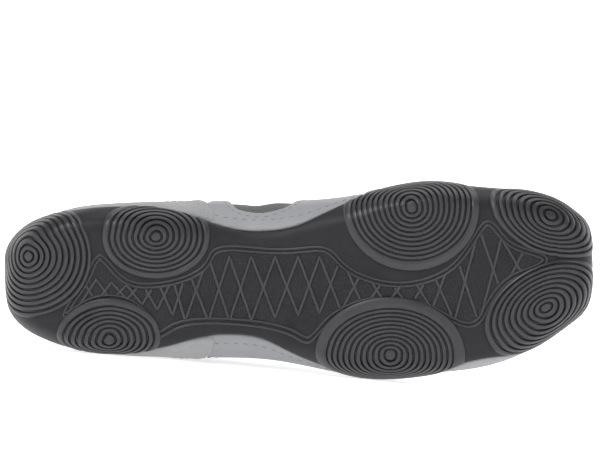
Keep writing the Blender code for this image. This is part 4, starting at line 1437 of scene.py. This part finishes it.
def inset_outline(outline, inset):
    """An outline moved inwards square to itself."""
    along = np.roll(outline, -1, 0) - np.roll(outline, 1, 0)
    along /= np.linalg.norm(along, axis=1, keepdims=True)
    across = np.stack([-along[:, 1], along[:, 0]], 1)
    if polygon_distance((outline + across * BEAD_RADIUS)[:1], outline)[0] < 0:
        across = -across
    return outline + across * inset


border_paths = []
for inset in (0.0, BORDER_GAP):
    line = inset_outline(border, inset)
    border_paths.append(drop_on_sheet(np.concatenate([line, line[:1]]), SHEET_UNDER))
border_ribs = run_tree(
    path_mesh("field_border", border_paths), BEADS, Radius=BORDER_RADIUS, Finish=LUG_RUBBER
)
finish_piece(border_ribs, LUG_RUBBER)

# %% [markdown]
# ## Stitches
#
# Rows of lockstitch hold every overlay. A row could be a bumpy line in the material, but real
# threads catch the light, so each stitch is a small rounded body. Geometry Nodes space them along
# a path on the panel and turn them to lie on it.

# %% Stitch rows
def standing_on(tree, *links, **settings):
    """A rotation that stands things on the surface, along its outward direction."""
    outward_of = node(
        tree, "GeometryNodeInputNamedAttribute", (("Name", "outward"),), data_type="FLOAT_VECTOR"
    ).outputs[0]
    links += (("Vector", outward_of),)
    return node(tree, "FunctionNodeAlignRotationToVector", links, axis="Z", **settings).outputs[0]


def repeated(tree, points, thing, rotation):
    """A thing on every point."""
    links = (("Points", points), ("Instance", thing), ("Rotation", rotation))
    return node(tree, "GeometryNodeInstanceOnPoints", links).outputs[0]


def stitch_tree():
    """Small rounded stitches spaced along the edges, lying on the surface."""
    tree, into, out = new_tree(
        "stitches along a path", Spacing="Float", Length="Float", Width="Float"
    )
    curve = node(tree, "GeometryNodeMeshToCurve", (("Mesh", into["Geometry"]),)).outputs[0]
    spaced = node(tree, "GeometryNodeResampleCurve", (
        ("Curve", curve), ("Length", into["Spacing"]),
    ), mode="LENGTH").outputs[0]
    ball = node(tree, "GeometryNodeMeshUVSphere", (("Segments", 8), ("Rings", 5), ("Radius", 0.5)))
    sizes = enumerate((into["Length"], into["Width"], into["Width"]))
    size = node(tree, "ShaderNodeCombineXYZ", sizes).outputs[0]
    thread = node(tree, "GeometryNodeTransform", ((0, ball.outputs[0]), ("Scale", size)))
    tangent = node(tree, "GeometryNodeInputTangent").outputs[0]
    along = node(tree, "FunctionNodeAlignRotationToVector", (("Vector", tangent),), axis="X")
    standing = standing_on(tree, ("Rotation", along.outputs[0]), pivot_axis="X")
    return end_tree(tree, repeated(tree, spaced, thread.outputs[0], standing), into, out)


CREASED_POINTS = [Vector(p) for p in CREASED.reshape(-1, 3)]
CREASED_TREE = BVHTree.FromPolygons(CREASED_POINTS, form_tree_faces)
STITCH_SPACING = 0.0043
STITCH_LENGTH = 0.0026
STITCH_WIDTH = 0.0007
STITCH_INSET = 0.0030
STITCH_SINK = 0.0001
STITCH_OFF_RUBBER = 0.0015
ROW_GAP = 0.0024
EDGE_ROW_RISE = 0.0038
EDGE_ROW_INSET = 0.012
COUNTER_ROW_FROM = 16
GUARD_ROW_FROM = 12


def side_row(points, side, lift):
    """Places drawn in the side view put on one side of the creased form, with their normals."""
    sign = 1 if side == "lateral" else -1
    placed, normals = [], []
    for x, z in points:
        hit, normal, _, _ = CREASED_TREE.ray_cast(Vector((x, sign * FAR, z)), Vector((0, -sign, 0)))
        if hit is None:
            continue
        if z < edge_height(np.array([tuple(hit)]))[0] + STITCH_OFF_RUBBER:
            continue
        if normal.y * sign < 0:
            normal = -normal
        placed.append(hit + normal * lift)
        normals.append(normal)
    return placed, normals


def moved_line(line, inset):
    """A line moved downwards, square to itself."""
    along = np.gradient(line, axis=0)
    along /= np.linalg.norm(along, axis=1, keepdims=True)
    across = np.stack([-along[:, 1], along[:, 0]], 1)
    across *= -np.sign(across[:, 1:2] + 1e-9)
    return line + across * inset


def edge_row(side):
    """The row that runs along the rubber's edge at the waist."""
    back, front = SADDLE_BACK + EDGE_ROW_INSET, SADDLE_FRONT - EDGE_ROW_INSET
    xs = np.linspace(back, front, LINE_STEPS) * LENGTH
    line = smooth_line(RUBBER_EDGE[side])
    zs = np.interp(xs / LENGTH, line[:, 0], line[:, 1]) * RUBBER_WRAP + EDGE_ROW_RISE
    return np.stack([xs, zs], 1)


stitch_paths, stitch_normals = [], []
on_overlay = CLEARANCE + OVERLAY_THICKNESS - STITCH_SINK
for side in ("medial", "lateral"):
    rows = [edge_row(side)]
    rows.append(moved_line(drawn(SADDLE_TOP[side]), STITCH_INSET))
    for inset in (STITCH_INSET, STITCH_INSET + ROW_GAP):
        rows.append(moved_line(counter_line, inset)[COUNTER_ROW_FROM:])
        rows.append(moved_line(guard_line, inset)[GUARD_ROW_FROM:])
    for row in rows:
        placed, normals = side_row(row, side, on_overlay)
        if len(placed) > 3:
            stitch_paths.append(placed)
            stitch_normals.append(normals)
STITCHES = stitch_tree()
stitches = run_tree(
    path_mesh("panel_stitches", stitch_paths, stitch_normals), STITCHES, Spacing=STITCH_SPACING,
    Length=STITCH_LENGTH, Width=STITCH_WIDTH, Finish=THREAD,
)
finish_piece(stitches, THREAD)

# %% [markdown]
# ## Eyelets and lace
#
# Seven pairs of small enamelled eyelets line the throat. A flat woven lace crosses between them
# and dives through each hole. The eyelets repeat, so one tree puts a ring on every point; the lace
# is a band swept along given paths, and it is not a free cord, because it is held at each end.

# %% Eyelets and lace
EYELET_PAIRS = 7
EYELET_BORE = 0.0042
EYELET_FLANGE = 0.0076
EYELET_HEIGHT = 0.0007
EYELET_POINTS = 24
EYELET_OVER = 0.0003
EYELET_INSET = 0.0075
EYELET_FIRST = 0.0085
EYELET_LAST = 0.0080
LACE_WIDTH = 0.0062
LACE_THICKNESS = 0.0011
LACE_DIP = 0.0016
LACE_OVER = 0.0016
LACE_FLOAT = 0.001
LACE_DIVE = -0.0012
LACE_PINCH = 0.45
# Shares of a crossing over which the lace dives, narrows, and is lifted over its partner.
DIVE_SHARES = (0.0, 0.09)
PINCH_SHARES = (0.0, 0.16)
LIFT_SHARES = (0.1, 0.3)
NUDGE = 0.001
ROW_NUDGE = 0.1


def crown_point(row, y, out=0.0):
    """The point over the crown at a row and a distance y from the ridge, moved out."""

    def at(row, y):
        top_x, top_z, low_x, low_z, half, swing, widest, crown, _ = section_at(row)
        a = math.asin(min(abs(y) / half, 1 - NUDGE) ** (crown / 2))
        down = (1 - widest) * (1 - math.cos(a) ** (2 / crown))
        return Vector((top_x + (low_x - top_x) * down, swing + y, top_z + (low_z - top_z) * down))

    point = at(row, y)
    across = at(row, y + NUDGE) - at(row, y - NUDGE)
    along = at(row + ROW_NUDGE, y) - at(row - ROW_NUDGE, y)
    normal = across.cross(along).normalized()
    return point + normal * out, normal


eyelet_at = np.linspace(EYELET_FIRST, COLLAR_AT - VAMP_AT - CUFF_DEPTH - EYELET_LAST, EYELET_PAIRS)
eyelet_rows = np.interp(VAMP_AT + eyelet_at, RIDGE_LENGTH, FORM_ROWS)
eyelet_reach = [throat_gap(row) / 2 + EYELET_INSET for row in eyelet_rows]


def eyelet_tree():
    """A rolled ring on every point, lying on the surface."""
    tree, into, out = new_tree("eyelets on points", Radius="Float", Roll="Float")
    rim = node(tree, "GeometryNodeCurveToMesh", (
        ("Curve", circle(tree, EYELET_POINTS, into["Radius"])),
        ("Profile Curve", circle(tree, BEAD_POINTS, into["Roll"])),
    )).outputs[0]
    rings = repeated(tree, into["Geometry"], rim, standing_on(tree))
    return end_tree(tree, rings, into, out)


eyelet_points, eyelet_normals = [], []
for row, reach in zip(eyelet_rows, eyelet_reach):
    for sign in (1, -1):
        point, normal = crown_point(row, sign * reach, CLEARANCE + OVERLAY_THICKNESS + EYELET_OVER)
        eyelet_points.append([point])
        eyelet_normals.append([normal])
eyelet_radius = (EYELET_BORE + EYELET_FLANGE) / 4
eyelets = run_tree(
    path_mesh("eyelet_rings", eyelet_points, eyelet_normals), eyelet_tree(), Radius=eyelet_radius,
    Roll=(EYELET_FLANGE - EYELET_BORE) / 4, Finish=METAL,
)
eyelet_nodes = [
    f"eyelet_{side}_{k + 1}" for side in ("lateral", "medial") for k in range(EYELET_PAIRS)
]
finish_piece(eyelets, METAL, eyelet_nodes)

LACE_PROFILE = (
    (-0.5, 0.0), (-0.44, 0.42), (-0.2, 0.5), (0.2, 0.5), (0.44, 0.42), (0.5, 0.0),
    (0.44, -0.42), (0.2, -0.5), (-0.2, -0.5), (-0.44, -0.42),
)
LACE_CROSS_STEPS = 28
lace_lengths = []


def lace_band(name, row_a, y_a, row_b, y_b, lift):
    """A flat woven band from one eyelet hole to another, narrowed where it dives in."""
    over = CLEARANCE * 2 + OVERLAY_THICKNESS + EYELET_HEIGHT + LACE_OVER
    points, normals, widths = [], [], []
    for t in np.linspace(0, 1, LACE_CROSS_STEPS):
        end = min(t, 1 - t)
        dive = 1 - smooth(*DIVE_SHARES, end)
        height = LACE_DIP + LACE_FLOAT + (over - LACE_DIP) * (2 * t - 1) ** 2
        height += lift * smooth(*LIFT_SHARES, end)
        height = height * (1 - dive) + dive * LACE_DIVE
        point, normal = crown_point(row_a + (row_b - row_a) * t, y_a + (y_b - y_a) * t, height)
        points.append(point)
        normals.append(normal)
        pinched = LACE_PINCH + (1 - LACE_PINCH) * smooth(*PINCH_SHARES, end)
        widths.append(LACE_WIDTH * pinched)
    rings, uv = [], []
    lengths = path_lengths(np.array([tuple(p) for p in points]))
    lace_lengths.append(float(lengths[-1]))
    for k, point in enumerate(points):
        tangent = (points[min(k + 1, len(points) - 1)] - points[max(k - 1, 0)]).normalized()
        side = tangent.cross(normals[k]).normalized()
        up = side.cross(tangent).normalized()
        for a, b in LACE_PROFILE:
            rings.append(tuple(point + side * (widths[k] * a) + up * (LACE_THICKNESS * b)))
        uv += [(lengths[k], a * LACE_WIDTH) for a, _ in LACE_PROFILE]
    count = len(LACE_PROFILE)
    faces = [tuple(range(count)), tuple(range(len(rings) - 1, len(rings) - count - 1, -1))]
    for k in range(len(points) - 1):
        for i in range(count):
            j = (i + 1) % count
            faces.append((k * count + i, (k + 1) * count + i, (k + 1) * count + j, k * count + j))
    return add_mesh(name, rings, faces, uv)


lowest, reach = eyelet_rows[0], eyelet_reach[0]
bands = [lace_band("lace_bar", lowest, reach, lowest, -reach, 0.0)]
for k in range(EYELET_PAIRS - 1):
    for sign, lift in ((1, 0.0), (-1, LACE_THICKNESS)):
        start = (eyelet_rows[k], sign * eyelet_reach[k])
        end = (eyelet_rows[k + 1], -sign * eyelet_reach[k + 1])
        bands.append(lace_band("lace", *start, *end, lift))
lace = joined("lace", bands)
print("lace drawn", round(sum(lace_lengths) * 1000), "mm")
bm = bmesh.new()
bm.from_mesh(lace.data)
bmesh.ops.recalc_face_normals(bm, faces=bm.faces)
bm.to_mesh(lace.data)
bm.free()
lace_nodes = ["lace_bar"] + [f"lace_crossing_{k + 1}" for k in range(EYELET_PAIRS - 1)]
finish_piece(lace, LACE, lace_nodes)

# %% [markdown]
# ## Studio and camera
#
# The shoe lies on a pale seamless sweep under soft white light. The camera looks straight at the
# sole through a long lens and is rolled, so that heel and toe lie level in the picture although
# the lying shoe's toe points a little up.

# %% Stage, light and camera
SWEEP_RADIUS = 7.0
SWEEP_CURVE = 2.0
SWEEP_TURNS = 64
SWEEP_STEPS = 12
# The sweep glows more towards the back: places along y, and how much.
GLOW_FROM = (-2.0, 1.5)
GLOW = (0.32, 0.95)


def sweep():
    """A pale round floor that curves up on all sides, so that it fills every view."""
    profile = [(SWEEP_RADIUS * t, 0.0) for t in (0.12, 0.5, 1.0)]
    for k in range(1, SWEEP_STEPS + 1):
        a = math.pi / 2 * k / SWEEP_STEPS
        profile.append((SWEEP_RADIUS + SWEEP_CURVE * math.sin(a), SWEEP_CURVE * (1 - math.cos(a))))
    profile.append((SWEEP_RADIUS + SWEEP_CURVE, 3 * SWEEP_CURVE))
    points = [(0.0, 0.0, 0.0)]
    for k in range(SWEEP_TURNS):
        a = 2 * math.pi * k / SWEEP_TURNS
        points += [(r * math.cos(a), r * math.sin(a), z) for r, z in profile]
    count = len(profile)
    faces = []
    for k in range(SWEEP_TURNS):
        a, b = 1 + k * count, 1 + (k + 1) % SWEEP_TURNS * count
        faces.append((0, a, b))
        faces += [(a + i, a + i + 1, b + i + 1, b + i) for i in range(count - 1)]
    mesh = bpy.data.meshes.new("floor_sweep")
    mesh.from_pydata(points, [], faces)
    mesh.shade_smooth()
    return new_object("floor_sweep", mesh)


floor = sweep()
floor_paint, tree, paint, coordinates = start_material("floor paint", 0.9)
paint["Base Color"].default_value = (0.86, 0.86, 0.86, 1)
paint["Emission Color"].default_value = (1, 1, 1, 1)
parts = node(tree, "ShaderNodeSeparateXYZ", ((0, coordinates["Object"]),))
glow = ranged(tree, parts.outputs[1], *GLOW_FROM, *GLOW)
tree.links.new(glow, paint["Emission Strength"])
floor.data.materials.append(floor_paint)


def area_light(name, place, target, size, power):
    """A square soft light that looks at a place."""
    light = bpy.data.lights.new(name, "AREA")
    light.size = size
    light.energy = power
    made = new_object(name, light)
    made.location = place
    made.rotation_euler = (target - Vector(place)).to_track_quat("-Z", "Y").to_euler()


centre = Vector((0, -0.05, 0.05))
area_light("key", (-0.7, -1.1, 1.5), centre, 0.7, 15)
area_light("fill", (1.1, -1.3, 0.7), centre, 1.0, 2)
area_light("top", (0.1, 0.4, 1.7), centre, 1.2, 9)
world = bpy.data.worlds.new("studio")
world.use_nodes = True
background = world.node_tree.nodes["Background"].inputs
background["Color"].default_value = (1, 1, 1, 1)
background["Strength"].default_value = 0.25
bpy.context.scene.world = world
bpy.context.scene.view_settings.view_transform = "Standard"

PICTURE_WIDTH = 590 * PHOTO_STEP
PICTURE_MIDDLE = (300, 225)
CAMERA_DISTANCE = 1.9
SENSOR = 36.0
turn = LIE.to_3x3()
toe_way = turn @ Vector((1, 0, 0))
look = turn @ Vector((0, 0, 1))
up_way = -(turn @ Vector((0, 1, 0)))
middle_point = LIE @ Vector((*under_foot([PICTURE_MIDDLE])[0], 0.0))
camera_data = bpy.data.cameras.new("camera")
camera_data.sensor_width = SENSOR
camera_data.lens = SENSOR * CAMERA_DISTANCE / PICTURE_WIDTH
camera = new_object("camera", camera_data)
basis = Matrix((toe_way, up_way, -look)).transposed().to_4x4()
camera.matrix_world = Matrix.Translation(middle_point - look * CAMERA_DISTANCE) @ basis
bpy.context.scene.camera = camera
print("camera at", [round(c, 3) for c in camera.location])
